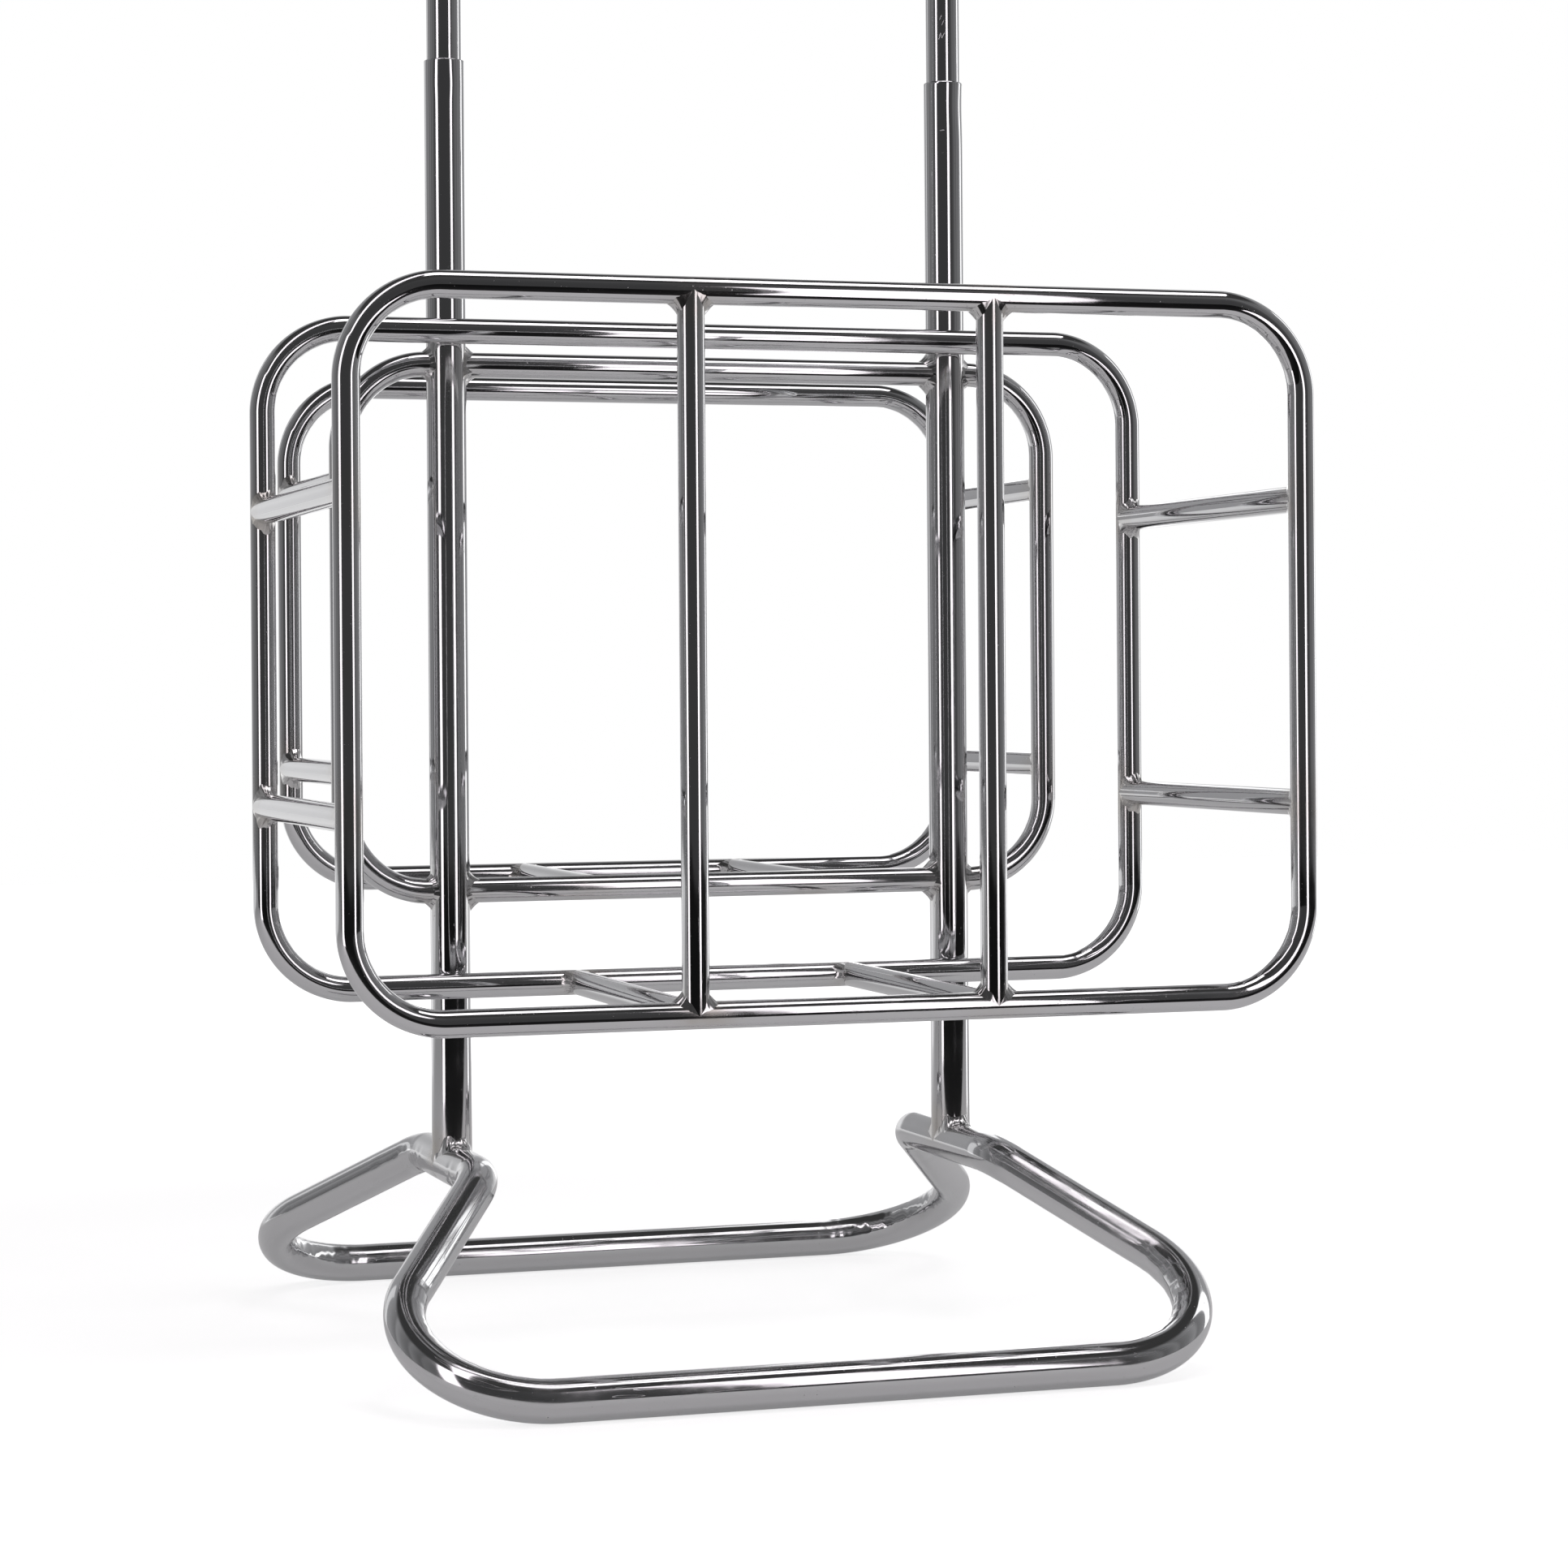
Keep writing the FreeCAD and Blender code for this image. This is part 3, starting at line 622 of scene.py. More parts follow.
@dataclass(frozen=True)
class Bead:
    """Fillet weld round the end of a tube that stands on another tube.

    The centre is where the two axes meet. The branch points away from the main tube. The toes sink
    into both walls by SINK, and the back of the bead is buried by TOE_DEPTH and ROOT_DEPTH.
    """

    centre: tuple[float, float, float]
    branch: tuple[float, float, float]
    main: tuple[float, float, float]
    branch_radius: float
    main_radius: float
    leg: float = 5.5 * MM
    flank_leg: float = 1.8 * MM
    fullness: float = 0.55
    lump: float = 0.3
    seed: int = 1
    segments: int = 88
    steps: int = 9

    RIPPLE_PITCH = 2.2 * MM
    RIPPLE_SHARE = 0.16
    FLANK_POWER = 1.4
    SINK = 0.25 * MM
    CROWN = 0.35 * MM
    CROWN_LUMP = 0.35
    TOE_DEPTH = 0.7 * MM
    ROOT_DEPTH = 1.2 * MM
    LUMP_ORDER = 5
    FINE_LUMP_ORDER = 11
    CROWN_ORDER = 7
    WAVES = 3
    WAVE_SPAN = 1.6
    SEED_STRIDE = 101

    def grid(self) -> Grid:
        """Closed ring of cross-sections.

        Returns:
            Positions, points of a cross-section by segments by 3.
        """
        b, m = np.array(self.branch, float), np.array(self.main, float)
        n = np.cross(b, m)
        angle = np.arange(self.segments) * TURN / self.segments
        cos, sin = np.cos(angle), np.sin(angle)
        r, big = self.branch_radius, self.main_radius
        arc = angle * r
        around = TURN * r
        whole = around / max(1, round(around / self.RIPPLE_PITCH))
        lumps = (1.0 + self.lump * self.wave(angle, self.LUMP_ORDER)
                 + self.lump / 2 * self.wave(angle, self.FINE_LUMP_ORDER))
        crown_share = np.abs(cos) ** self.FLANK_POWER
        leg = (self.flank_leg + (self.leg - self.flank_leg) * crown_share) * lumps
        ripple = self.RIPPLE_SHARE * np.sin(TURN * arc / whole)
        sink = self.SINK
        tilt = np.arcsin(np.clip(r * sin / big, -1.0, 1.0))
        foot_tilt = tilt + leg * sin / big

        def place(u: Grid, v: Grid, w: Grid) -> Grid:
            """Position from distances along the main tube, across it and along the branch."""
            return u[:, None] * m + v[:, None] * n + w[:, None] * b

        corner = place(r * cos, big * np.sin(tilt), big * np.cos(tilt))
        top = place((r - sink) * cos, (r - sink) * sin, big * np.cos(tilt) + leg)
        foot = place(r * cos + leg * cos, (big - sink) * np.sin(foot_tilt),
                     (big - sink) * np.cos(foot_tilt))
        uneven = self.CROWN_LUMP * self.lump * self.wave(angle, self.CROWN_ORDER)
        full = (self.fullness + uneven + ripple)[:, None]
        control = corner * (1.0 - full) + (top + foot) / 2 * full
        outward = place(cos, sin + np.sin(tilt), np.cos(tilt))
        outward /= np.linalg.norm(outward, axis=1, keepdims=True)
        control = control + outward * self.CROWN
        rows = []
        for t in np.linspace(0.0, 1.0, self.steps):
            rows.append((1 - t) ** 2 * top + 2 * t * (1 - t) * control + t ** 2 * foot)
        rows.append(foot - outward * self.TOE_DEPTH)
        rows.append(corner - outward * self.ROOT_DEPTH)
        rows.append(top - outward * self.TOE_DEPTH)
        return np.array(rows) + np.array(self.centre)

    def wave(self, angle: Grid, order: int) -> Grid:
        """Uneven wave that closes on itself after one turn.

        Args:
            angle: Angles round the branch.
            order: Waves in one turn.

        Returns:
            One wave height for each angle.
        """
        chance = np.random.default_rng(self.seed * self.SEED_STRIDE + order)
        total = np.zeros_like(angle)
        for step in range(self.WAVES):
            phase = chance.uniform(0, TURN)
            total = total + np.sin(angle * (order + 2 * step) + phase) / (1 + step)
        return total / self.WAVE_SPAN


WELD_SHARP_ANGLE = 75.0


def bead_piece(name: str, beads: Iterable[Bead]) -> bpy.types.Mesh:
    """One mesh of several weld beads.

    Args:
        name: Name of the mesh.
        beads: Welds that it holds.

    Returns:
        The mesh.
    """
    grid = MeshGrid()
    for bead in beads:
        grid.add_grid(bead.grid(), wrap_rows=True, flip=True)
    return grid.mesh(name, sharp_angle=WELD_SHARP_ANGLE)


@dataclass(frozen=True)
class Tack:
    """Short lumpy run of weld, laid along X in the corner between a rail and a post.

    LEAN is how much of the post's curve the run follows.
    """

    centre: tuple[float, float, float]
    post_radius: float
    half_length: float = 8.0 * MM
    radius: float = 1.5 * MM
    seed: int = 1

    ROWS = 33
    COLUMNS = 20
    LAST_ROW = 0.97
    LUMP = 0.22
    LUMP_PITCH = 5.0 * MM
    RIPPLE = 0.08
    RIPPLE_PITCH = 0.3 * MM
    LEAN = 0.7

    def add_to(self, grid: MeshGrid) -> None:
        """Add the run to a mesh, bent round the post and pointed at both ends.

        Args:
            grid: Mesh that takes the run.
        """
        share = np.sin(np.linspace(-self.LAST_ROW, self.LAST_ROW, self.ROWS) * math.pi / 2)
        angle = np.arange(self.COLUMNS) * TURN / self.COLUMNS
        along = share * self.half_length
        lumps = (1.0 + self.LUMP * irregular(along, self.LUMP_PITCH, self.seed)
                 + self.RIPPLE * np.sin(along / self.RIPPLE_PITCH))
        reach = self.radius * np.sqrt(1.0 - share ** 2) * lumps
        back = self.post_radius - np.sqrt(self.post_radius ** 2 - along ** 2)
        x, y, z = self.centre
        places = np.stack([np.repeat((x + along)[:, None], len(angle), axis=1),
                           y + back[:, None] * self.LEAN + reach[:, None] * np.cos(angle),
                           z + reach[:, None] * np.sin(angle)], axis=-1)
        index = grid.add_grid(places)
        grid.add_cap(index[0], flip=True)
        grid.add_cap(index[-1])


@dataclass(frozen=True)
class Scratch:
    """Scored line on a straight tube, with a burr thrown up along both its edges; its finish is
    painted paler than the plating, a painted glint.

    Each point is an angle in degrees from the front of the tube and a distance along it.
    """

    points: tuple[tuple[float, float], ...]
    width: float = 0.75 * MM
    burr: float = 0.15 * MM
    sink: float = 0.12 * MM

    SAMPLE = 0.35 * MM
    LEAST_ROWS = 6
    TAPER = 1.2 * MM
    POINT_SHARE = 0.15
    RIDGE_PLACE = 0.3
    VALLEY_SHARE = 0.2

    def add_to(self, grid: MeshGrid, line: Centreline, radius: float) -> None:
        """Add the scratch to a mesh, tapered at both ends.

        Args:
            grid: Mesh that takes the scratch.
            line: Centre line of the tube.
            radius: Outer radius of the tube.
        """
        angles = np.radians([point[0] for point in self.points])
        travels = np.array([point[1] for point in self.points])
        lengths = np.hypot(np.diff(angles) * radius, np.diff(travels))
        steps = np.concatenate(([0.0], np.cumsum(lengths)))
        read = np.linspace(0.0, steps[-1], max(self.LEAST_ROWS, int(steps[-1] / self.SAMPLE)))
        angle = np.interp(read, steps, angles)
        travel = np.interp(read, steps, travels)
        heading = np.stack([np.gradient(angle) * radius, np.gradient(travel)], axis=1)
        heading /= np.linalg.norm(heading, axis=1, keepdims=True)
        inside = np.minimum(read, steps[-1] - read)
        taper = np.minimum(1.0, inside / self.TAPER + self.POINT_SHARE)
        ridge, valley = self.RIDGE_PLACE, -self.VALLEY_SHARE * self.burr
        across = np.array([-0.5, -ridge, 0.0, ridge, 0.5, 0.0]) * self.width
        rise = np.array([-self.sink, self.burr, valley, self.burr, -self.sink, -self.sink])
        aside = taper[:, None] * across
        around = angle[:, None] + aside * heading[:, 1:] / radius
        along = travel[:, None] - aside * heading[:, :1]
        reach = radius + np.where(rise > 0, taper[:, None] * rise, rise)
        normals, binormals = line.read(line.normals, along), line.read(line.binormals, along)
        outward = normals * np.cos(around)[..., None] + binormals * np.sin(around)[..., None]
        index = grid.add_grid(line.read(line.points, along) + outward * reach[..., None], flip=True)
        grid.add_cap(index[0])
        grid.add_cap(index[-1], flip=True)


# --- shader helpers --------------------------------------------------------------------------

class Graph:
    """Adds shader nodes to a tree and wires them.

    A Mix node keeps its colour sockets behind those for numbers and vectors.
    """

    COLOUR_LOW = 6
    COLOUR_HIGH = 7
    COLOUR_RESULT = 2

    def __init__(self, tree: bpy.types.NodeTree) -> None:
        """Work on this tree."""
        self.tree = tree

    def add(self, kind: str, **settings: object) -> bpy.types.Node:
        """Add a node and set its properties.

        Args:
            kind: Type of the node.
            settings: Its properties.

        Returns:
            The node.
        """
        node = self.tree.nodes.new(kind)
        for name, value in settings.items():
            setattr(node, name, value)
        return node

    def feed(self, socket: Socket, value: Union[Socket, float, Sequence[float]]) -> None:
        """Give a socket a link or a constant.

        Args:
            socket: Input to set.
            value: Output to link to it, or its constant.
        """
        if isinstance(value, bpy.types.NodeSocket):
            self.tree.links.new(value, socket)
        else:
            socket.default_value = value

    def math(self, operation: str, *values: Union[Socket, float]) -> Socket:
        """Result of a Math node.

        Args:
            operation: Operation of the node.
            values: Its inputs, in order.

        Returns:
            Its output.
        """
        node = self.add("ShaderNodeMath", operation=operation)
        for socket, value in zip(node.inputs, values):
            self.feed(socket, value)
        return node.outputs[0]

    def ramp(self, value: Socket, low: Union[Socket, float], high: Union[Socket, float],
             to_low: float = 0.0, to_high: float = 1.0) -> Socket:
        """Smooth ramp of a value between two limits.

        Args:
            value: Value to read.
            low: Limit where the ramp starts.
            high: Limit where it ends.
            to_low: Result at the first limit.
            to_high: Result at the second limit.

        Returns:
            The ramp's output.
        """
        node = self.add("ShaderNodeMapRange", interpolation_type="SMOOTHSTEP")
        for name, given in (("Value", value), ("From Min", low), ("From Max", high),
                            ("To Min", to_low), ("To Max", to_high)):
            self.feed(node.inputs[name], given)
        return node.outputs["Result"]

    def stretch(self, vector: Socket, scale: Sequence[float],
                turn: Sequence[float] = (0.0, 0.0, 0.0)) -> Socket:
        """Vector with each direction scaled.

        Args:
            vector: Vector to scale.
            scale: Factor along each axis.
            turn: Rotation about each axis, in radians.

        Returns:
            The scaled vector.
        """
        node = self.add("ShaderNodeMapping")
        self.feed(node.inputs["Vector"], vector)
        self.feed(node.inputs["Scale"], scale)
        self.feed(node.inputs["Rotation"], turn)
        return node.outputs["Vector"]

    def noise(self, vector: Socket, scale: float, detail: float = 2.0,
              roughness: float = 0.5) -> Socket:
        """Value of a noise texture.

        Args:
            vector: Where to read the texture.
            scale: Its scale.
            detail: Its number of octaves.
            roughness: Share that each octave keeps.

        Returns:
            The value, from 0 to 1.
        """
        node = self.add("ShaderNodeTexNoise")
        self.feed(node.inputs["Vector"], vector)
        self.feed(node.inputs["Scale"], scale)
        self.feed(node.inputs["Detail"], detail)
        self.feed(node.inputs["Roughness"], roughness)
        return node.outputs["Fac"]

    def bump(self, shader: bpy.types.Node, height: Socket) -> None:
        """Give a surface a relief.

        Args:
            shader: Surface shader.
            height: Height of the relief, in metres.
        """
        node = self.add("ShaderNodeBump")
        node.inputs["Strength"].default_value = 1.0
        node.inputs["Distance"].default_value = 1.0
        self.feed(node.inputs["Height"], height)
        self.feed(shader.inputs["Normal"], node.outputs["Normal"])

    def blend(self, share: Union[Socket, float], low: Union[Socket, Sequence[float]],
              high: Union[Socket, Sequence[float]]) -> Socket:
        """Mix of two colours.

        Args:
            share: Share of the second colour.
            low: First colour.
            high: Second colour.

        Returns:
            The mixed colour.
        """
        node = self.add("ShaderNodeMix", data_type="RGBA")
        self.feed(node.inputs[0], share)
        self.feed(node.inputs[self.COLOUR_LOW], low)
        self.feed(node.inputs[self.COLOUR_HIGH], high)
        return node.outputs[self.COLOUR_RESULT]


class Effects:
    """Node groups that several finishes share, each built once."""

    @classmethod
    def start(cls, name: str, inputs: Sequence[tuple[str, str, float]],
              outputs: Sequence[str]) -> tuple[Graph, bpy.types.Node, bpy.types.Node]:
        """New group with its sockets.

        Args:
            name: Name of the group.
            inputs: Name, kind and value of each input.
            outputs: Name of each output, all of them numbers.

        Returns:
            Helper for the group, its input node and its output node.
        """
        tree = bpy.data.node_groups.new(name, "ShaderNodeTree")
        for label, kind, value in inputs:
            made = tree.interface.new_socket(label, in_out="INPUT", socket_type=kind)
            if kind == "NodeSocketFloat":
                made.default_value = value
        for label in outputs:
            tree.interface.new_socket(label, in_out="OUTPUT", socket_type="NodeSocketFloat")
        graph = Graph(tree)
        return graph, graph.add("NodeGroupInput"), graph.add("NodeGroupOutput")

    @classmethod
    @cache
    def polish_waves(cls) -> bpy.types.NodeTree:
        """Long soft waves and fine drawing lines left under the plating.

        Returns:
            The group.
        """
        graph, given, out = cls.start(
            "polish_waves",
            [("Vector", "NodeSocketVector", 0.0), ("Wave", "NodeSocketFloat", 4e-6),
             ("Lines", "NodeSocketFloat", 4e-7)],
            ["Height"])
        where = given.outputs["Vector"]
        swell = graph.noise(graph.stretch(where, (1.0, 1.0, 0.28)), scale=90.0, detail=1.0)
        lines = graph.noise(graph.stretch(where, (1.0, 1.0, 0.02)), scale=1600.0, detail=2.0)
        total = graph.math("ADD", graph.math("MULTIPLY", swell, given.outputs["Wave"]),
                           graph.math("MULTIPLY", lines, given.outputs["Lines"]))
        graph.feed(out.inputs["Height"], total)
        return graph.tree

    @classmethod
    @cache
    def hair_scratches(cls) -> bpy.types.NodeTree:
        """Fine scratches along and round a tube, broken into short lengths.

        Returns:
            The group.
        """
        graph, given, out = cls.start(
            "hair_scratches",
            [("Vector", "NodeSocketVector", 0.0), ("Amount", "NodeSocketFloat", 0.5)],
            ["Mask"])
        total: Union[Socket, float] = 0.0
        for turn, scale, fineness in (
                ((0.05, 0.02, 0.0), (1.0, 1.0, 0.035), 420.0),
                ((0.5, -0.35, 0.1), (1.0, 1.0, 0.06), 300.0),
                ((1.2, 0.3, -0.2), (1.0, 1.0, 0.05), 260.0)):
            vector = graph.stretch(given.outputs["Vector"], scale, turn)
            field = graph.noise(vector, scale=fineness, detail=1.0, roughness=0.4)
            ridge = graph.math("ABSOLUTE", graph.math("SUBTRACT", field, 0.5))
            line = graph.ramp(ridge, 0.0, 0.006, to_low=1.0, to_high=0.0)
            patches = graph.noise(vector, scale=fineness * 0.13, detail=2.0)
            gate = graph.ramp(patches, 0.60, 0.66)
            total = graph.math("MAXIMUM", total, graph.math("MULTIPLY", line, gate))
        graph.feed(out.inputs["Mask"], graph.math("MULTIPLY", total, given.outputs["Amount"]))
        return graph.tree

    @classmethod
    @cache
    def plating_pits(cls) -> bpy.types.NodeTree:
        """Pinhole pits and specks, in drifts.

        Returns:
            The group.
        """
        graph, given, out = cls.start(
            "plating_pits",
            [("Vector", "NodeSocketVector", 0.0), ("Amount", "NodeSocketFloat", 0.5),
             ("Size", "NodeSocketFloat", 0.12)],
            ["Mask"])
        total: Union[Socket, float] = 0.0
        for scale, share in ((230.0, 0.75), (520.0, 1.0)):
            cells = graph.add("ShaderNodeTexVoronoi", feature="F1")
            graph.feed(cells.inputs["Vector"], given.outputs["Vector"])
            graph.feed(cells.inputs["Scale"], scale)
            chance = graph.add("ShaderNodeSeparateColor")
            graph.feed(chance.inputs[0], cells.outputs["Color"])
            drift = graph.noise(given.outputs["Vector"], scale=26.0, detail=3.0, roughness=0.6)
            keep = graph.ramp(graph.math("ADD", chance.outputs[0], drift), 1.28, 1.36)
            edge = graph.math("MULTIPLY", given.outputs["Size"],
                              graph.math("ADD", chance.outputs[1], 0.4))
            reach = graph.math("DIVIDE", cells.outputs["Distance"], edge)
            spot = graph.ramp(reach, 0.5, 1.0, to_low=1.0, to_high=0.0)
            found = graph.math("MULTIPLY", graph.math("MULTIPLY", spot, keep), share)
            total = graph.math("MAXIMUM", total, found)
        graph.feed(out.inputs["Mask"], graph.math("MULTIPLY", total, given.outputs["Amount"]))
        return graph.tree

    @classmethod
    @cache
    def handling_haze(cls) -> bpy.types.NodeTree:
        """Soft cloudy patches where hands and bags have rubbed.

        Returns:
            The group.
        """
        graph, given, out = cls.start(
            "handling_haze",
            [("Vector", "NodeSocketVector", 0.0), ("Size", "NodeSocketFloat", 22.0)],
            ["Mask"])
        cloud = graph.add("ShaderNodeTexNoise")
        graph.feed(cloud.inputs["Vector"], graph.stretch(given.outputs["Vector"], (1.0, 1.0, 0.45)))
        graph.feed(cloud.inputs["Scale"], given.outputs["Size"])
        graph.feed(cloud.inputs["Detail"], 4.0)
        graph.feed(cloud.inputs["Roughness"], 0.62)
        graph.feed(out.inputs["Mask"], graph.ramp(cloud.outputs["Fac"], 0.46, 0.72))
        return graph.tree

    @classmethod
    @cache
    def mould_grain(cls) -> bpy.types.NodeTree:
        """Pebbled grain that a spark-eroded mould leaves on plastic.

        Returns:
            The group.
        """
        graph, given, out = cls.start(
            "mould_grain",
            [("Vector", "NodeSocketVector", 0.0), ("Depth", "NodeSocketFloat", 1.5e-5)],
            ["Height"])
        cells = graph.add("ShaderNodeTexVoronoi", feature="SMOOTH_F1")
        graph.feed(cells.inputs["Vector"], given.outputs["Vector"])
        graph.feed(cells.inputs["Scale"], 1900.0)
        swell = graph.noise(given.outputs["Vector"], scale=700.0, detail=3.0)
        mixed = graph.math("MULTIPLY_ADD", swell, 0.6, cells.outputs["Distance"])
        graph.feed(out.inputs["Height"], graph.math("MULTIPLY", mixed, given.outputs["Depth"]))
        return graph.tree

    @classmethod
    def place(cls, graph: Graph, group: bpy.types.NodeTree,
              **values: Union[Socket, float]) -> Socket:
        """Put a group in a material and return its first output.

        Args:
            graph: Material that takes it.
            group: The group.
            values: Its inputs, by their names in lower case.

        Returns:
            Its first output.
        """
        node = graph.add("ShaderNodeGroup", node_tree=group)
        for name, value in values.items():
            graph.feed(node.inputs[name.capitalize()], value)
        return node.outputs[0]


def new_material(name: str) -> tuple[Graph, bpy.types.Node, bpy.types.Material]:
    """Empty material with its surface shader, ready to be wired.

    Args:
        name: Name of the material.

    Returns:
        Helper for its nodes, its surface shader and the material.
    """
    material = bpy.data.materials.new(name)
    material.use_nodes = True
    graph = Graph(material.node_tree)
    return graph, material.node_tree.nodes["Principled BSDF"], material


@dataclass(frozen=True)
class Plating:
    """Plated steel, worn as its place on the stand wears it."""

    name: str
    colour: tuple[float, float, float] = (0.63, 0.63, 0.64)
    tarnish: tuple[float, float, float] = (0.52, 0.48, 0.43)
    roughness: float = 0.045
    wave: float = 7e-6
    scratches: float = 0.6
    pits: float = 0.7
    haze: float = 0.10
    on_tube: bool = True

    STAIN_SHARE = (0.2, 0.7)
    STAIN_ROUGHNESS = 0.12
    PIT_COLOUR = (0.30, 0.30, 0.32)
    PIT_SHARE = 0.55
    PIT_ROUGHNESS = 0.5
    PIT_DEPTH = 1.2e-5
    SCRATCH_ROUGHNESS = 0.35
    SCRATCH_DEPTH = 8e-6

    def material(self) -> bpy.types.Material:
        """Build the material.

        Returns:
            The material.
        """
        graph, shader, material = new_material(self.name)
        if self.on_tube:
            where = graph.add("ShaderNodeAttribute", attribute_name="tube_space").outputs["Vector"]
        else:
            where = graph.add("ShaderNodeTexCoord").outputs["Object"]
        seam = graph.add("ShaderNodeAttribute", attribute_name="seam").outputs["Fac"]
        waves = Effects.place(graph, Effects.polish_waves(), vector=where, wave=self.wave)
        scratches = Effects.place(graph, Effects.hair_scratches(), vector=where,
                                  amount=self.scratches)
        pits = Effects.place(graph, Effects.plating_pits(), vector=where, amount=self.pits)
        haze = Effects.place(graph, Effects.handling_haze(), vector=where)
        cloudy = graph.ramp(haze, 0.0, 0.9, *self.STAIN_SHARE)
        stained = graph.math("MULTIPLY", seam, cloudy)
        clean = graph.blend(stained, (*self.colour, 1.0), (*self.tarnish, 1.0))
        marked = graph.blend(graph.math("MULTIPLY", pits, self.PIT_SHARE), clean,
                             (*self.PIT_COLOUR, 1.0))
        graph.feed(shader.inputs["Base Color"], marked)
        shader.inputs["Metallic"].default_value = 1.0
        rough = graph.math("MULTIPLY_ADD", haze, self.haze, self.roughness)
        rough = graph.math("MULTIPLY_ADD", stained, self.STAIN_ROUGHNESS, rough)
        rough = graph.math("MULTIPLY_ADD", scratches, self.SCRATCH_ROUGHNESS, rough)
        rough = graph.math("MULTIPLY_ADD", pits, self.PIT_ROUGHNESS, rough)
        graph.feed(shader.inputs["Roughness"], rough)
        height = graph.math("MULTIPLY_ADD", pits, -self.PIT_DEPTH, waves)
        height = graph.math("MULTIPLY_ADD", scratches, -self.SCRATCH_DEPTH, height)
        graph.bump(shader, height)
        return material


@dataclass(frozen=True)
class Plastic:
    """Moulded plastic, grained by its mould and rubbed paler where it is handled."""

    name: str
    colour: tuple[float, float, float]
    rubbed: tuple[float, float, float]
    roughness: float = 0.42
    grain: float = 1.5e-5

    DUST_COLOUR = (0.42, 0.41, 0.39)
    DUST_SHARE = 0.5
    DUST_ROUGHNESS = 0.2
    RUBBED_SHARE = 0.55
    RUBBED_ROUGHNESS = 0.16

    def material(self) -> bpy.types.Material:
        """Build the material.

        Returns:
            The material.
        """
        graph, shader, material = new_material(self.name)
        where = graph.add("ShaderNodeTexCoord").outputs["Object"]
        haze = Effects.place(graph, Effects.handling_haze(), vector=where, size=60.0)
        pits = Effects.place(graph, Effects.plating_pits(), vector=where, amount=0.6, size=0.1)
        worn = graph.math("MULTIPLY", haze, self.RUBBED_SHARE)
        tint = graph.blend(worn, (*self.colour, 1.0), (*self.rubbed, 1.0))
        dusty = graph.blend(graph.math("MULTIPLY", pits, self.DUST_SHARE), tint,
                            (*self.DUST_COLOUR, 1.0))
        graph.feed(shader.inputs["Base Color"], dusty)
        rough = graph.math("MULTIPLY_ADD", haze, self.RUBBED_ROUGHNESS, self.roughness)
        rough = graph.math("MULTIPLY_ADD", pits, self.DUST_ROUGHNESS, rough)
        graph.feed(shader.inputs["Roughness"], rough)
        grain = Effects.place(graph, Effects.mould_grain(), vector=where, depth=self.grain)
        graph.bump(shader, grain)
        return material


# --- pieces ----------------------------------------------------------------------------------

def add_piece(name: str, mesh: bpy.types.Mesh, material: bpy.types.Material, body: Body,
              replaced: Sequence[str] = ()) -> bpy.types.Object:
    """Put a mesh in the scene as a piece of the stand.

    Args:
        name: Name of the piece.
        mesh: Its mesh, in place.
        material: Its finish.
        body: Body that it rides on.
        replaced: Nodes that it stands for.

    Returns:
        The piece.
    """
    piece = bpy.data.objects.new(name, mesh)
    bpy.context.scene.collection.objects.link(piece)
    mesh.materials.append(material)
    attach(piece, body.value)
    if replaced:
        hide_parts(*replaced)
    log.info("%s: %d faces on %s", name, len(mesh.polygons), body.value)
    return piece


def dress(node: str, material: bpy.types.Material) -> None:
    """Give a node of the frame its finish, in place of the plain one it came with.

    Args:
        node: Node of the frame.
        material: Its finish.
    """
    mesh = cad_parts[node].data
    mesh.materials.clear()
    mesh.materials.append(material)
    log.info("%s: dressed in %s", node, material.name)


@dataclass
class BaseLoop:
    """Floor loop of thick tube, bent up to a saddle under each post."""

    layout: Layout
    finish: bpy.types.Material
    corner_x: float = 298.7 * MM
    corner_depth: float = 275.0 * MM
    saddle_half_length: float = 79.8 * MM
    bend_radius: float = 74.0 * MM
    saddle_bend_radius: float = 49.0 * MM
    wall: float = 1.6 * MM

    SEEDS = {"front": 5, "rear": 9}

    def line(self, front: bool) -> Centreline:
        """Centre line of the front or rear half.

        Args:
            front: Whether it is the front half.

        Returns:
            The line, from under the left post to under the right one.
        """
        way = -1 if front else 1
        x, y, z = self.layout.post_x(Side.RIGHT), self.layout.post_y, self.layout.saddle_z
        low = self.layout.base_radius
        corners = [
            (-x, y, z),
            (-x, y + way * self.saddle_half_length, z),
            (-self.corner_x, y + way * self.corner_depth, low),
            (self.corner_x, y + way * self.corner_depth, low),
            (x, y + way * self.saddle_half_length, z),
            (x, y, z),
        ]
        radii = [self.saddle_bend_radius, self.bend_radius]
        return Centreline(corners, radii + radii[::-1], (0, 0, 1))

    def build(self) -> None:
        """Add both halves."""
        for word, seed in self.SEEDS.items():
            skin = TubeSkin(self.line(word == "front"), self.layout.base_radius, segments=64,
                            coarse=3 * MM, fine=1.2 * MM)
            skin.bend_marks(Wear(flattening=0.035, wrinkle_depth=0.42 * MM, wrinkle_pitch=17 * MM,
                                 reach=26 * MM, seed=seed))
            mesh = skin.pipe(self.wall).mesh("base_loop_%s_tube" % word)
            add_piece(mesh.name, mesh, self.finish, Body.FRAME, ["base_loop_" + word])


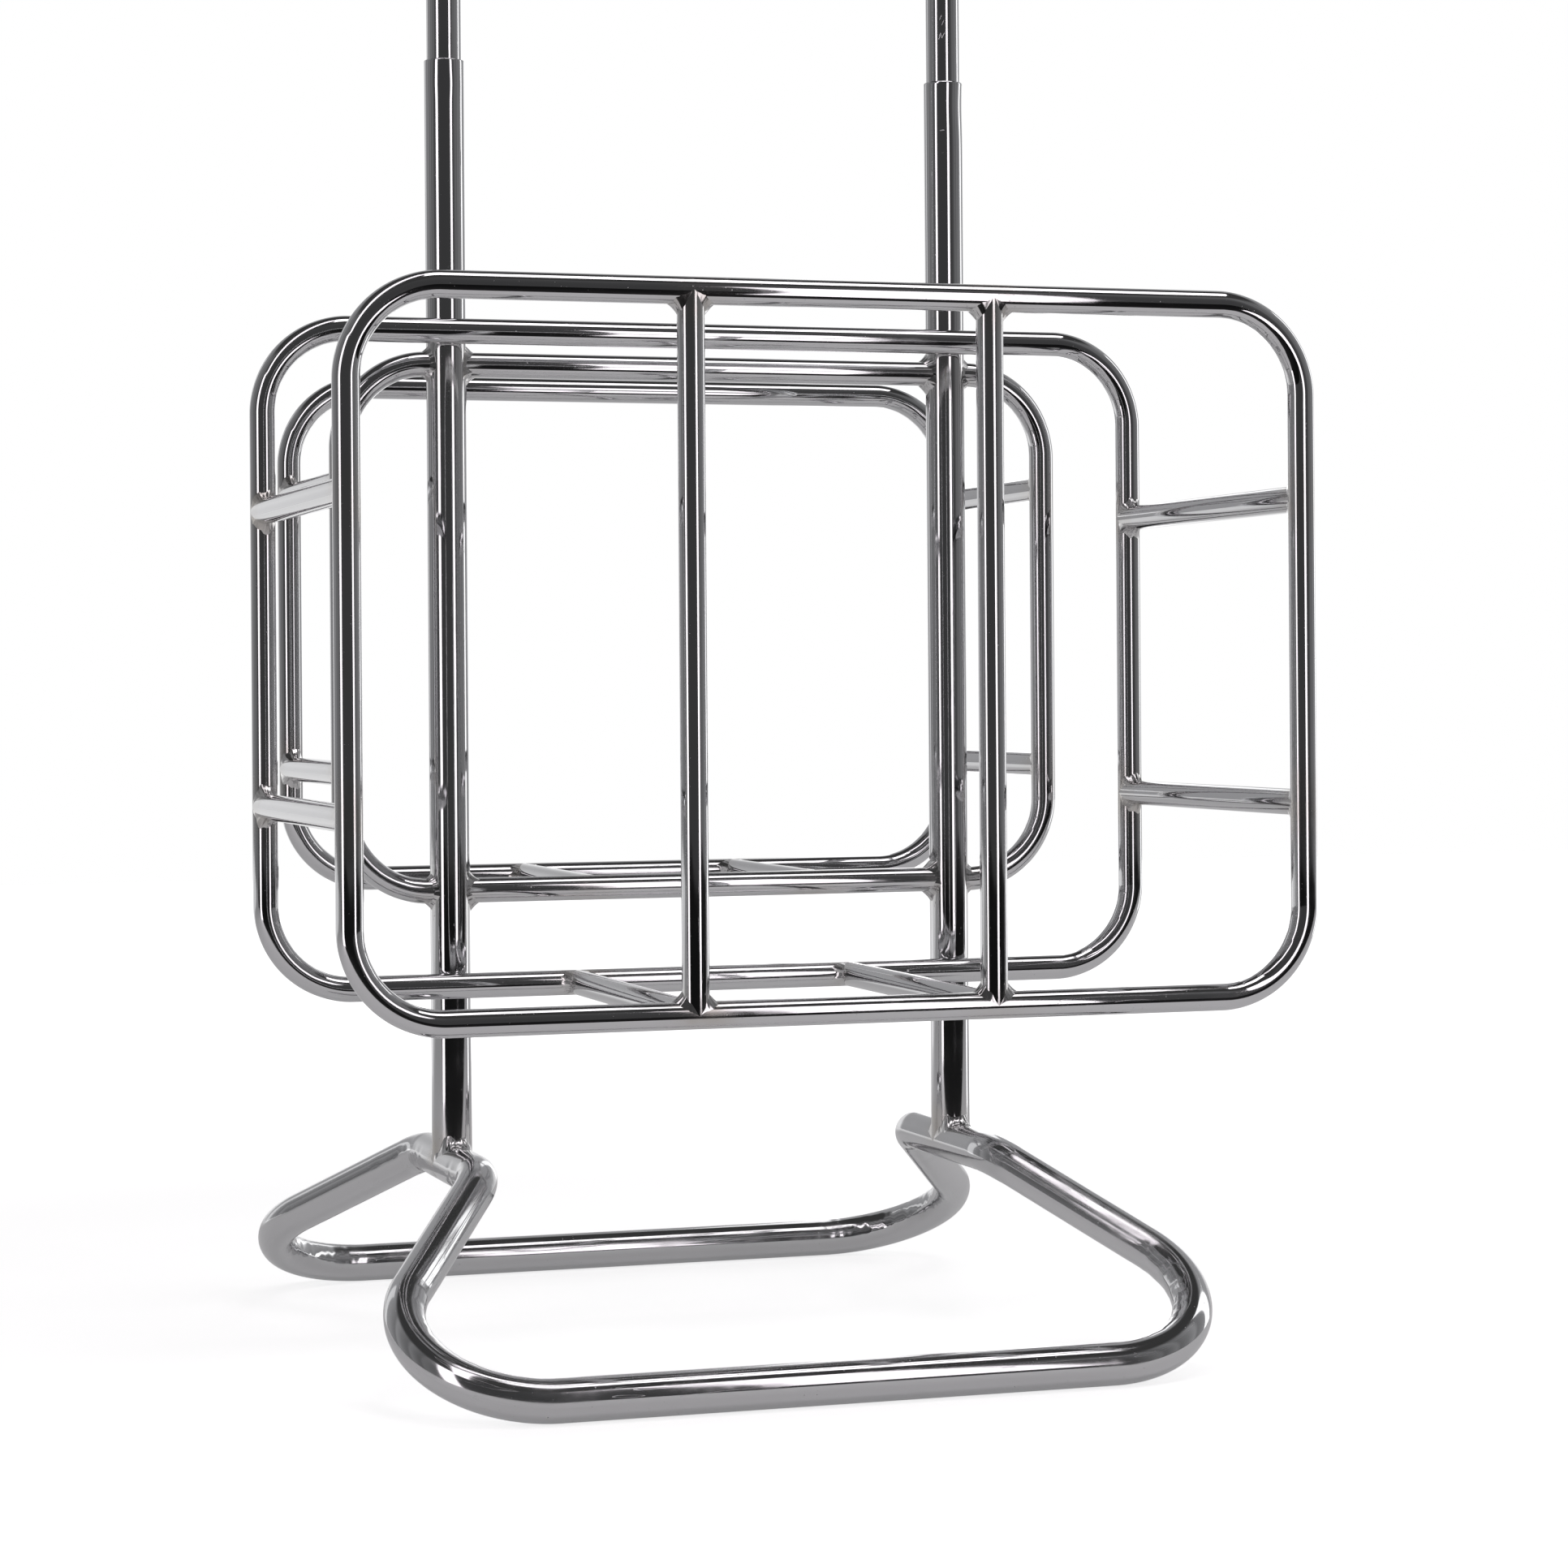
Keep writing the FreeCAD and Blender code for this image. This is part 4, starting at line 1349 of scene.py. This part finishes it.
@dataclass
class Cage:
    """Frames, ears and bars of thin tube that make the two boxes."""

    layout: Layout
    finish: bpy.types.Material
    bead_finish: bpy.types.Material
    bend_radius: float = 54.0 * MM
    wall: float = 1.5 * MM
    tack_rise: float = 5.4 * MM
    tack_stand_off: float = 0.9 * MM

    SEEDS = {"front_frame": 21, "middle_frame": 22, "rear_frame": 23}
    TACK_SEED = 80
    EAR_SEED = 31
    EAR_WELD_SEED = 41

    def wear(self, seed: int) -> Wear:
        """Marks in the bends of the thin tube."""
        return Wear(flattening=0.03, wrinkle_depth=0.1 * MM, wrinkle_pitch=11 * MM, seed=seed)

    def frame_line(self, node: str, y: float) -> Centreline:
        """Centre line of an upright rounded rectangle, from the middle of its lower rail.

        Args:
            node: Node of the frame.
            y: Place of its plane.

        Returns:
            The closed line.
        """
        w = self.layout.half_width(node)
        low, high = (self.layout.rail_z(node, level) for level in (Level.LOWER, Level.UPPER))
        corners = [(w, y, low), (w, y, high), (-w, y, high), (-w, y, low)]
        return Centreline(corners, [self.bend_radius] * 4, (0, 0, -1), closed=True)

    def build_frames(self) -> None:
        """Add the three closed frames."""
        for node, seed in self.SEEDS.items():
            skin = TubeSkin(self.frame_line(node, middle(node, 1)), self.layout.cage_radius)
            skin.bend_marks(self.wear(seed))
            mesh = skin.loop().mesh(node + "_tube")
            add_piece(mesh.name, mesh, self.finish, Body.FRAME, [node])

    def bar(self, node: str, start: Sequence[float], end: Sequence[float], mate_radius: float,
            mate_axis: tuple[float, float, float]) -> list[Bead]:
        """Add a straight bar between two centre lines, and return its two weld beads.

        Args:
            node: Node of the bar.
            start: Its start, on the first tube's axis.
            end: Its end, on the second tube's axis.
            mate_radius: Radius of the tubes that it meets.
            mate_axis: Direction of those tubes.

        Returns:
            Its weld beads.
        """
        line = Centreline([start, end], [], (0.577, 0.577, 0.577))
        skin = TubeSkin(line, self.layout.cage_radius, coarse=4 * MM)
        for at_end in (False, True):
            skin.cope(Cope(mate_radius, mate_axis), at_end)
        mesh = skin.pipe(self.wall).mesh(node + "_tube")
        add_piece(mesh.name, mesh, self.finish, Body.FRAME, [node])
        way = tuple((Vector(end) - Vector(start)).normalized())
        back = tuple(-value for value in way)
        seed = sum(ord(letter) for letter in node)
        radius = self.layout.cage_radius
        return [Bead(tuple(start), way, mate_axis, radius, mate_radius, seed=seed),
                Bead(tuple(end), back, mate_axis, radius, mate_radius, seed=seed + 1)]

    def build_front_box(self) -> None:
        """Add the uprights, floor bars and side bars of the front box."""
        lay = self.layout
        low, high = (lay.rail_z("front_frame", level) for level in (Level.LOWER, Level.UPPER))
        w = lay.half_width("front_frame")
        radius = lay.cage_radius
        beads: list[Bead] = []
        for side in Side:
            x = side.value * lay.front_bar_x
            beads += self.bar("front_upright_" + side.word, (x, lay.front_y, low),
                              (x, lay.front_y, high), radius, (1, 0, 0))
            beads += self.bar("front_floor_bar_" + side.word, (x, lay.front_y, low),
                              (x, lay.middle_y, low), radius, (1, 0, 0))
            for level in Level:
                node = "front_side_bar_%s_%s" % (level.value, side.word)
                z = middle(node, 2)
                beads += self.bar(node, (side.value * w, lay.front_y, z),
                                  (side.value * w, lay.middle_y, z), radius, (0, 0, 1))
        tacks = MeshGrid()
        for index, side in enumerate(Side):
            for step, z in enumerate((low, high)):
                for way in (-1, 1):
                    y = lay.post_y - lay.post_radius - self.tack_stand_off
                    place = (lay.post_x(side), y, z + way * self.tack_rise)
                    seed = self.TACK_SEED + 4 * index + 2 * step + way
                    Tack(place, lay.post_radius, seed=seed).add_to(tacks)
        mesh = tacks.mesh("middle_frame_tacks", sharp_angle=WELD_SHARP_ANGLE)
        add_piece(mesh.name, mesh, self.bead_finish, Body.FRAME)
        mesh = bead_piece("front_box_welds", beads)
        add_piece(mesh.name, mesh, self.bead_finish, Body.FRAME)

    def build_rear_box(self) -> None:
        """Add the ears, rails, floor bars and side bars of the rear box."""
        lay = self.layout
        low, high = (lay.rail_z("rear_frame", level) for level in (Level.LOWER, Level.UPPER))
        w = lay.half_width("rear_frame")
        radius = lay.cage_radius
        beads: list[Bead] = []
        for level, z in ((Level.LOWER, low), (Level.UPPER, high)):
            beads += self.bar("post_rail_" + level.value, (lay.post_x(Side.LEFT), lay.post_y, z),
                              (lay.post_x(Side.RIGHT), lay.post_y, z), lay.post_radius, (0, 0, 1))
        for side in Side:
            px = lay.post_x(side)
            corners = [(px, lay.post_y, high), (side.value * w, lay.post_y, high),
                       (side.value * w, lay.post_y, low), (px, lay.post_y, low)]
            skin = TubeSkin(Centreline(corners, [self.bend_radius] * 2, (0, 1, 0)), radius,
                            coarse=3 * MM)
            for at_end in (False, True):
                skin.cope(Cope(lay.post_radius, (0, 0, 1)), at_end)
            skin.bend_marks(self.wear(self.EAR_SEED + side.value))
            node = "post_ear_" + side.word
            mesh = skin.pipe(self.wall).mesh(node + "_tube")
            add_piece(mesh.name, mesh, self.finish, Body.FRAME, [node])
            for z in (low, high):
                beads.append(Bead((px, lay.post_y, z), (side.value, 0, 0), (0, 0, 1), radius,
                                  lay.post_radius, leg=3.2 * MM, flank_leg=2.2 * MM,
                                  seed=self.EAR_WELD_SEED + side.value))
            x = side.value * lay.rear_bar_x
            beads += self.bar("rear_floor_bar_" + side.word, (x, lay.post_y, low),
                              (x, lay.rear_y, low), radius, (1, 0, 0))
            for level in Level:
                node = "rear_side_bar_%s_%s" % (level.value, side.word)
                z = middle(node, 2)
                beads += self.bar(node, (side.value * w, lay.post_y, z),
                                  (side.value * w, lay.rear_y, z), radius, (0, 0, 1))
        mesh = bead_piece("rear_box_welds", beads)
        add_piece(mesh.name, mesh, self.bead_finish, Body.FRAME)


@dataclass
class Posts:
    """The two fixed tubes that stand on the base, and their welds."""

    layout: Layout
    finish: bpy.types.Material
    bead_finish: bpy.types.Material
    scratch_and_glint_finish: bpy.types.Material
    clamp_drop: float = 16.5 * MM
    clearance: float = 0.08 * MM
    nick_rise: float = 0.4 * MM

    WELD_SEED = 61
    MOUTH_ROUND = {Side.LEFT: 0.6 * MM, Side.RIGHT: 1.3 * MM}
    FACING = {Side.LEFT: (-0.3, -0.954, 0.0), Side.RIGHT: (0.78, -0.626, 0.0)}
    NICKS = ((33 * MM, -31.0, -15.0), (48 * MM, -24.0, -20.0))

    def dent(self, side: Side, length: float) -> Dent:
        """Hollow that the clamp has left under a post's mouth.

        Args:
            side: Which post.
            length: Length of the post.

        Returns:
            The hollow.
        """
        travel = length - self.clamp_drop
        if side is Side.LEFT:
            return Dent(travel, self.FACING[side], depth=0.65 * MM, length=6 * MM, width=0.62)
        return Dent(travel, self.FACING[side], depth=0.45 * MM, length=10 * MM, width=0.5)

    def build(self) -> None:
        """Add both posts and the beads at their feet."""
        lay = self.layout
        bore = half("upper_tube_left", 0) + self.clearance
        beads = []
        nicks = MeshGrid()
        for side in Side:
            x = lay.post_x(side)
            foot, top = (x, lay.post_y, lay.saddle_z), (x, lay.post_y, lay.post_top)
            line = Centreline([foot, top], [], (0, -1, 0))
            skin = TubeSkin(line, lay.post_radius, segments=72, coarse=2.5 * MM)
            skin.cope(Cope(lay.base_radius, (0, 1, 0), blend=30 * MM), False)
            skin.press(self.dent(side, line.length))
            skin.round_end(self.MOUTH_ROUND[side])
            mesh = skin.pipe(lay.post_radius - bore).mesh("post_%s_tube" % side.word)
            add_piece(mesh.name, mesh, self.finish, Body.FRAME, ["post_" + side.word])
            if side is Side.RIGHT:
                for drop, low, high in self.NICKS:
                    rise = line.length - drop
                    nick = Scratch(((low, rise), (high, rise + self.nick_rise)))
                    nick.add_to(nicks, line, lay.post_radius)
            beads.append(Bead(foot, (0, 0, 1), (0, 1, 0), lay.post_radius, lay.base_radius,
                              leg=6.5 * MM, flank_leg=3.0 * MM, lump=0.4,
                              seed=self.WELD_SEED + side.value, segments=120))
        mesh = bead_piece("post_foot_welds", beads)
        add_piece(mesh.name, mesh, self.bead_finish, Body.FRAME)
        mesh = nicks.mesh("post_right_nicks")
        add_piece(mesh.name, mesh, self.scratch_and_glint_finish, Body.FRAME)


@dataclass
class Mast:
    """Tube that slides in a post, with its end plug and foot bush."""

    layout: Layout
    side: Side
    finish: bpy.types.Material
    scratch_and_glint_finish: bpy.types.Material
    plug_finish: bpy.types.Material
    bush_finish: bpy.types.Material
    wall: float = 1.5 * MM
    score_height: float = 0.06 * MM

    SCORES = (
        ((-30.0, 40.0), (-22.0, 43.5)),
        ((-22.0, 36.5), (-14.0, 40.0)),
        ((-33.0, 27.0), (-27.0, 31.5), (-22.0, 28.0), (-12.0, 32.0)),
    )

    def build(self) -> None:
        """Add the sliding tube and dress its plug and bush."""
        node = "upper_tube_" + self.side.word
        low, high = span(node, 2)
        x, y = self.layout.post_x(self.side), self.layout.post_y
        line = Centreline([(x, y, low), (x, y, high)], [], (0, -1, 0))
        skin = TubeSkin(line, half(node, 0), segments=72, coarse=5 * MM)
        mesh = skin.pipe(self.wall).mesh(node + "_skin")
        add_piece(mesh.name, mesh, self.finish, self.side.mast, [node])
        dress("end_plug_" + self.side.word, self.plug_finish)
        dress("foot_bush_" + self.side.word, self.bush_finish)
        if self.side is Side.RIGHT:
            self.add_scratches(line, half(node, 0))

    def add_scratches(self, line: Centreline, radius: float) -> None:
        """Add the scores that the clamp has left a little way above the post's mouth.

        Args:
            line: Centre line of the tube.
            radius: Its outer radius.
        """
        mouth = self.layout.post_top - line.points[0][2]
        grid = MeshGrid()
        for points in self.SCORES:
            places = tuple((angle, mouth + rise * MM) for angle, rise in points)
            Scratch(places, burr=self.score_height).add_to(grid, line, radius)
        mesh = grid.mesh("upper_tube_%s_scores" % self.side.word)
        add_piece(mesh.name, mesh, self.scratch_and_glint_finish, self.side.mast)


@dataclass
class Clamp:
    """Boss welded on the rear of a post, and the knurled socket screw in it."""

    layout: Layout
    side: Side
    finish: bpy.types.Material
    bead_finish: bpy.types.Material
    screw_finish: bpy.types.Material
    bore_radius: float = 2.55 * MM
    edge_round: float = 0.7 * MM
    shank_radius: float = 2.5 * MM
    thread_pitch: float = 0.8 * MM
    thread_depth: float = 0.35 * MM
    head_radius: float = 4.25 * MM
    knurls: int = 32
    knurl_depth: float = 0.22 * MM
    socket_flats: float = 4.0 * MM
    socket_depth: float = 2.5 * MM
    socket_chamfer: float = 0.25 * MM
    socket_chamfer_depth: float = 0.2 * MM
    chamfer: float = 0.35 * MM

    SEGMENTS = 192
    ROWS_PER_THREAD = 6
    ROWS_ON_HEAD = 6
    WELD_SEED = 71

    def build(self) -> None:
        """Add the boss, its weld and the screw."""
        lay = self.layout
        boss, screw = "lock_boss_" + self.side.word, "lock_screw_" + self.side.word
        x, z = lay.post_x(self.side), middle(boss, 2)
        face = span(boss, 1)[1]
        line = Centreline([(x, lay.post_y, z), (x, face, z)], [], (0, 0, 1))
        radius = half(boss, 0)
        skin = TubeSkin(line, radius, segments=72, coarse=0.8 * MM)
        skin.cope(Cope(lay.post_radius, (0, 0, 1), blend=line.length - 1.5 * MM), False)
        skin.round_end(self.edge_round)
        mesh = skin.pipe(radius - self.bore_radius).mesh(boss + "_body")
        add_piece(mesh.name, mesh, self.finish, Body.FRAME, [boss])
        bead = Bead((x, lay.post_y, z), (0, 1, 0), (0, 0, 1), radius, lay.post_radius,
                    leg=2.4 * MM, flank_leg=1.2 * MM, seed=self.WELD_SEED + self.side.value)
        mesh = bead_piece(boss + "_weld", [bead])
        add_piece(mesh.name, mesh, self.bead_finish, Body.FRAME)
        mesh = self.screw_mesh(screw + "_turned", (x, face, z), span(screw, 1))
        add_piece(mesh.name, mesh, self.screw_finish, Body.FRAME, [screw])

    def screw_mesh(self, name: str, seat: tuple[float, float, float],
                   ends: tuple[float, float]) -> bpy.types.Mesh:
        """Screw with a cut thread, a knurled head and a hexagonal socket.

        Args:
            name: Name of the mesh.
            seat: Middle of the face that the head bears on.
            ends: Lowest and highest Y of the screw.

        Returns:
            The mesh, with its head towards +Y.
        """
        angle = np.arange(self.SEGMENTS) * TURN / self.SEGMENTS
        tip, top = ends[0] - seat[1], ends[1] - seat[1]
        chamfer = self.chamfer
        sixth = TURN / 6
        hexagon = self.socket_flats / 2 / np.cos(angle % sixth - sixth / 2)
        knurl = self.head_radius - self.knurl_depth * np.abs(np.sin(angle * self.knurls / 2))
        rows = [(tip, self.shank_radius - 2 * chamfer + 0 * angle)]
        for along in np.arange(tip + chamfer, -chamfer, self.thread_pitch / self.ROWS_PER_THREAD):
            phase = (along / self.thread_pitch - angle / TURN) % 1.0
            rows.append((along, self.shank_radius - self.thread_depth * np.abs(2.0 * phase - 1.0)))
        rows += [(0.0, self.shank_radius + 0 * angle), (0.0, knurl - chamfer), (chamfer, knurl)]
        knurled = np.linspace(chamfer, top - 2 * chamfer, self.ROWS_ON_HEAD)[1:]
        rows += [(along, knurl) for along in knurled]
        rows += [(top - chamfer / 2, knurl * 0 + self.head_radius - 1.3 * chamfer),
                 (top, knurl * 0 + self.head_radius - 2.4 * chamfer),
                 (top, hexagon + self.socket_chamfer),
                 (top - self.socket_chamfer_depth, hexagon),
                 (top - self.socket_depth, hexagon)]
        places = np.array([np.stack([seat[0] + radius * np.sin(angle),
                                     seat[1] + along + 0 * angle,
                                     seat[2] + radius * np.cos(angle)], axis=-1)
                           for along, radius in rows])
        grid = MeshGrid()
        index = grid.add_grid(places)
        grid.add_cap(index[0], flip=True)
        grid.add_cap(index[-1])
        return grid.mesh(name, sharp_angle=32.0)


# --- studio ----------------------------------------------------------------------------------

@dataclass(frozen=True)
class Panel:
    """Softbox: a flat light that faces a target."""

    name: str
    place: tuple[float, float, float]
    size: tuple[float, float]
    radiance: float
    colour: tuple[float, float, float] = (1.0, 1.0, 1.0)
    target: tuple[float, float, float] = (0.0, 0.0, 0.5)
    level: bool = True

    def build(self) -> None:
        """Hang the light."""
        data = bpy.data.lights.new(self.name, "AREA")
        data.shape = "RECTANGLE"
        data.size, data.size_y = self.size
        data.energy = self.radiance * math.pi * self.size[0] * self.size[1]
        data.color = self.colour
        lamp = bpy.data.objects.new(self.name, data)
        bpy.context.scene.collection.objects.link(lamp)
        lamp.location = self.place
        aim = Vector(self.target) - Vector(self.place)
        if self.level:
            aim.z = 0.0
        lamp.rotation_euler = aim.to_track_quat("-Z", "Y").to_euler()
        lamp.visible_camera = False


@dataclass
class Studio:
    """Camera, lights, floor and surroundings."""

    camera_place: tuple[float, float, float] = (-0.69584, -2.33742, 0.41251)
    camera_yaw: float = math.radians(17.786)
    camera_roll: float = math.radians(-0.429)
    lens: float = 86.54
    sensor: float = 36.0
    shift_y: float = -0.05947
    floor_half: float = 6.0
    floor_front: float = -0.78
    floor_glow: float = 0.69
    open_floor_glow: float = 1.1
    open_floor: tuple[float, float] = (0.7, 1.9)
    chrome_floor_glow: float = 0.19
    backdrop_glow: float = 0.50
    backdrop_floor: tuple[float, float] = (0.8, 2.0)
    ceiling_grey: float = 0.05

    SURROUNDINGS = (
        (0.0, 0.055), (0.10, 0.075), (0.22, 0.17), (0.28, 0.20), (0.31, 0.13), (0.38, 0.19),
        (0.45, 0.26), (0.49, 0.17), (0.60, 0.24), (0.70, 0.36), (0.74, 0.22), (0.88, 0.36),
        (1.0, 0.42),
    )

    def build(self) -> None:
        """Set everything up."""
        self.add_camera()
        self.add_lights()
        self.add_floor()
        self.add_world()
        bpy.context.scene.view_settings.view_transform = "Standard"

    def add_camera(self) -> None:
        """Camera at the stand's left front, level with the cage."""
        data = bpy.data.cameras.new("camera")
        data.lens = self.lens
        data.sensor_width = self.sensor
        data.shift_y = self.shift_y
        data.clip_start = 0.05
        data.clip_end = 60.0
        camera = bpy.data.objects.new("camera", data)
        bpy.context.scene.collection.objects.link(camera)
        turned = Euler((math.pi / 2, 0.0, -self.camera_yaw)).to_matrix()
        turned = turned @ Matrix.Rotation(self.camera_roll, 3, "Z")
        camera.matrix_world = Matrix.Translation(self.camera_place) @ turned.to_4x4()
        bpy.context.scene.camera = camera

    def add_lights(self) -> None:
        """Softboxes round and over the stand."""
        for panel in (
                Panel("key_strip", (-1.37, -0.78, 0.68), (0.34, 1.36), 2.0, (1.0, 0.94, 0.98)),
                Panel("fill_strip", (0.39, -1.20, 0.70), (0.26, 1.10), 2.0, (1.0, 0.94, 0.98)),
                Panel("side_strip", (1.40, 0.25, 0.75), (0.30, 1.5), 1.6),
                Panel("rear_left_strip", (-0.95, 1.50, 0.75), (0.30, 1.5), 0.5),
                Panel("rear_right_strip", (0.75, 1.60, 0.75), (0.30, 1.5), 1.0),
                Panel("key_arch", (-0.72, -0.62, 1.86), (0.30, 1.8), 2.0, (1.0, 0.94, 0.98),
                      (0.0, 0.0, 0.5), False),
                Panel("overhead", (0.50, -0.42, 2.40), (1.3, 0.80), 2.6, (1.0, 0.96, 0.985),
                      (0.50, -0.42, 0.0), False)):
            panel.build()

    def add_floor(self) -> None:
        """Pale floor; only its sweep round the stand is bright in the chrome."""
        mesh = bpy.data.meshes.new("floor")
        h = self.floor_half
        mesh.from_pydata([(-h, -h, 0), (h, -h, 0), (h, h, 0), (-h, h, 0)], [], [(0, 1, 2, 3)])
        floor = bpy.data.objects.new("floor", mesh)
        bpy.context.scene.collection.objects.link(floor)
        graph, shader, material = new_material("pale_floor")
        shader.inputs["Roughness"].default_value = 0.9
        shader.inputs["Specular IOR Level"].default_value = 0.1
        where = graph.add("ShaderNodeSeparateXYZ")
        geometry = graph.add("ShaderNodeNewGeometry")
        graph.feed(where.inputs[0], geometry.outputs["Position"])
        length = graph.add("ShaderNodeVectorMath", operation="LENGTH")
        graph.feed(length.inputs[0], geometry.outputs["Position"])
        seen = graph.add("ShaderNodeLightPath").outputs["Is Camera Ray"]
        front = self.floor_front
        sweep = graph.ramp(where.outputs["Y"], front - 0.05, front + 0.02)
        pale, dark = (0.82, 0.82, 0.82, 1.0), (0.03, 0.03, 0.03, 1.0)
        lit = graph.math("MAXIMUM", seen, sweep)
        graph.feed(shader.inputs["Base Color"], graph.blend(lit, dark, pale))
        open_glow = graph.ramp(length.outputs["Value"], *self.open_floor, self.floor_glow,
                               self.open_floor_glow)
        far_glow = graph.ramp(where.outputs["Y"], *self.backdrop_floor, self.chrome_floor_glow,
                              self.chrome_floor_glow + self.backdrop_glow)
        chrome_glow = graph.math("MULTIPLY", sweep, far_glow)
        glow = graph.math("MULTIPLY_ADD", seen, graph.math("SUBTRACT", open_glow, chrome_glow),
                          chrome_glow)
        graph.feed(shader.inputs["Emission Color"], (1.0, 1.0, 1.0, 1.0))
        graph.feed(shader.inputs["Emission Strength"], glow)
        mesh.materials.append(material)

    def add_world(self) -> None:
        """White to the eye; dark before the stand and paler behind it in the chrome."""
        world = bpy.data.worlds.new("studio")
        world.use_nodes = True
        bpy.context.scene.world = world
        graph = Graph(world.node_tree)
        nodes = world.node_tree.nodes
        background = nodes["Background"]
        direction = graph.add("ShaderNodeTexCoord").outputs["Generated"]
        away = graph.add("ShaderNodeVectorMath", operation="DOT_PRODUCT")
        graph.feed(away.inputs[0], direction)
        graph.feed(away.inputs[1], (math.sin(self.camera_yaw), math.cos(self.camera_yaw), 0.0))
        ramp = graph.add("ShaderNodeValToRGB")
        graph.feed(ramp.inputs[0], graph.ramp(away.outputs["Value"], -1.0, 1.0))
        elements = ramp.color_ramp.elements
        while len(elements) < len(self.SURROUNDINGS):
            elements.new(1.0)
        for element, (place, grey) in zip(elements, self.SURROUNDINGS):
            element.position = place
            element.color = (grey, grey, grey * 1.02, 1.0)
        height = graph.add("ShaderNodeSeparateXYZ")
        graph.feed(height.inputs[0], direction)
        behind = graph.ramp(away.outputs["Value"], 0.78, 0.93, to_high=self.backdrop_glow)
        lower = graph.ramp(height.outputs["Z"], 0.10, 0.30, to_low=1.0, to_high=0.0)
        backdrop = graph.math("MULTIPLY", behind, lower)
        lit = graph.add("ShaderNodeVectorMath", operation="ADD")
        graph.feed(lit.inputs[0], ramp.outputs[0])
        graph.feed(lit.inputs[1], backdrop)
        zenith = graph.ramp(height.outputs["Z"], 0.68, 0.80)
        round_about = graph.blend(zenith, lit.outputs[0], (*[self.ceiling_grey] * 3, 1.0))
        path = graph.add("ShaderNodeLightPath")
        seen = graph.blend(path.outputs["Is Camera Ray"], round_about, (1.0, 1.0, 1.0, 1.0))
        graph.feed(background.inputs["Color"], seen)
        background.inputs["Strength"].default_value = 1.0


def note_joints(layout: Layout) -> None:
    """List the welded places before any mesh is made, so that each can tarnish round them.

    Args:
        layout: Centre lines and radii of the tubes.
    """
    front = [layout.rail_z("front_frame", level) for level in (Level.LOWER, Level.UPPER)]
    rear = [layout.rail_z("rear_frame", level) for level in (Level.LOWER, Level.UPPER)]
    for side in Side:
        x = side.value * layout.front_bar_x
        px = layout.post_x(side)
        Joint.places += [(x, layout.front_y, z) for z in front]
        Joint.places.append((x, layout.middle_y, front[0]))
        Joint.places += [(px, layout.post_y, z) for z in rear]
        Joint.places.append((px, layout.post_y, layout.saddle_z + layout.post_radius))
        for level in Level:
            z = middle("front_side_bar_%s_%s" % (level.value, side.word), 2)
            w = side.value * layout.half_width("front_frame")
            Joint.places += [(w, layout.front_y, z), (w, layout.middle_y, z)]
            z = middle("rear_side_bar_%s_%s" % (level.value, side.word), 2)
            w = side.value * layout.half_width("rear_frame")
            Joint.places += [(w, layout.post_y, z), (w, layout.rear_y, z)]
        x = side.value * layout.rear_bar_x
        Joint.places += [(x, layout.post_y, rear[0]), (x, layout.rear_y, rear[0])]


def main() -> None:
    """Build the stand piece by piece, then the studio."""
    logging.basicConfig(level=logging.INFO, format="%(name)s: %(message)s")
    layout = Layout()
    note_joints(layout)
    base_chrome = Plating("base_chrome_worn", roughness=0.085, scratches=0.9, haze=0.20).material()
    post_chrome = Plating("post_chrome_worn", pits=0.5).material()
    upper_chrome = Plating("upper_chrome_rubbed", pits=0.4, roughness=0.04).material()
    cage_chrome = Plating("cage_chrome_worn").material()
    bead_chrome = Plating("weld_chrome", roughness=0.12, on_tube=False, wave=2e-5,
                         scratches=0.2).material()
    # Scores and nicks: real rough scored metal, but their colour is painted paler than any plated
    # steel, a painted glint that makes them read bright.
    scored_chrome = Plating("scored_chrome", (0.90, 0.90, 0.91), roughness=0.5, on_tube=False,
                            scratches=0.2).material()
    screw_zinc = Plating("screw_zinc", (0.58, 0.59, 0.57), roughness=0.27, on_tube=False,
                         wave=2e-6, pits=0.9, haze=0.25).material()
    plug_black = Plastic("plug_polyethylene", colour=(0.022, 0.022, 0.024),
                         rubbed=(0.075, 0.075, 0.078)).material()
    bush_ivory = Plastic("bush_acetal", colour=(0.72, 0.70, 0.64), rubbed=(0.62, 0.60, 0.54),
                         roughness=0.30, grain=6e-6).material()
    BaseLoop(layout, base_chrome).build()
    cage = Cage(layout, cage_chrome, bead_chrome)
    cage.build_frames()
    cage.build_front_box()
    cage.build_rear_box()
    Posts(layout, post_chrome, bead_chrome, scored_chrome).build()
    for side in Side:
        Mast(layout, side, upper_chrome, scored_chrome, plug_black, bush_ivory).build()
        Clamp(layout, side, post_chrome, bead_chrome, screw_zinc).build()
    Studio().build()
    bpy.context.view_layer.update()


if __name__ == "__main__":
    main()
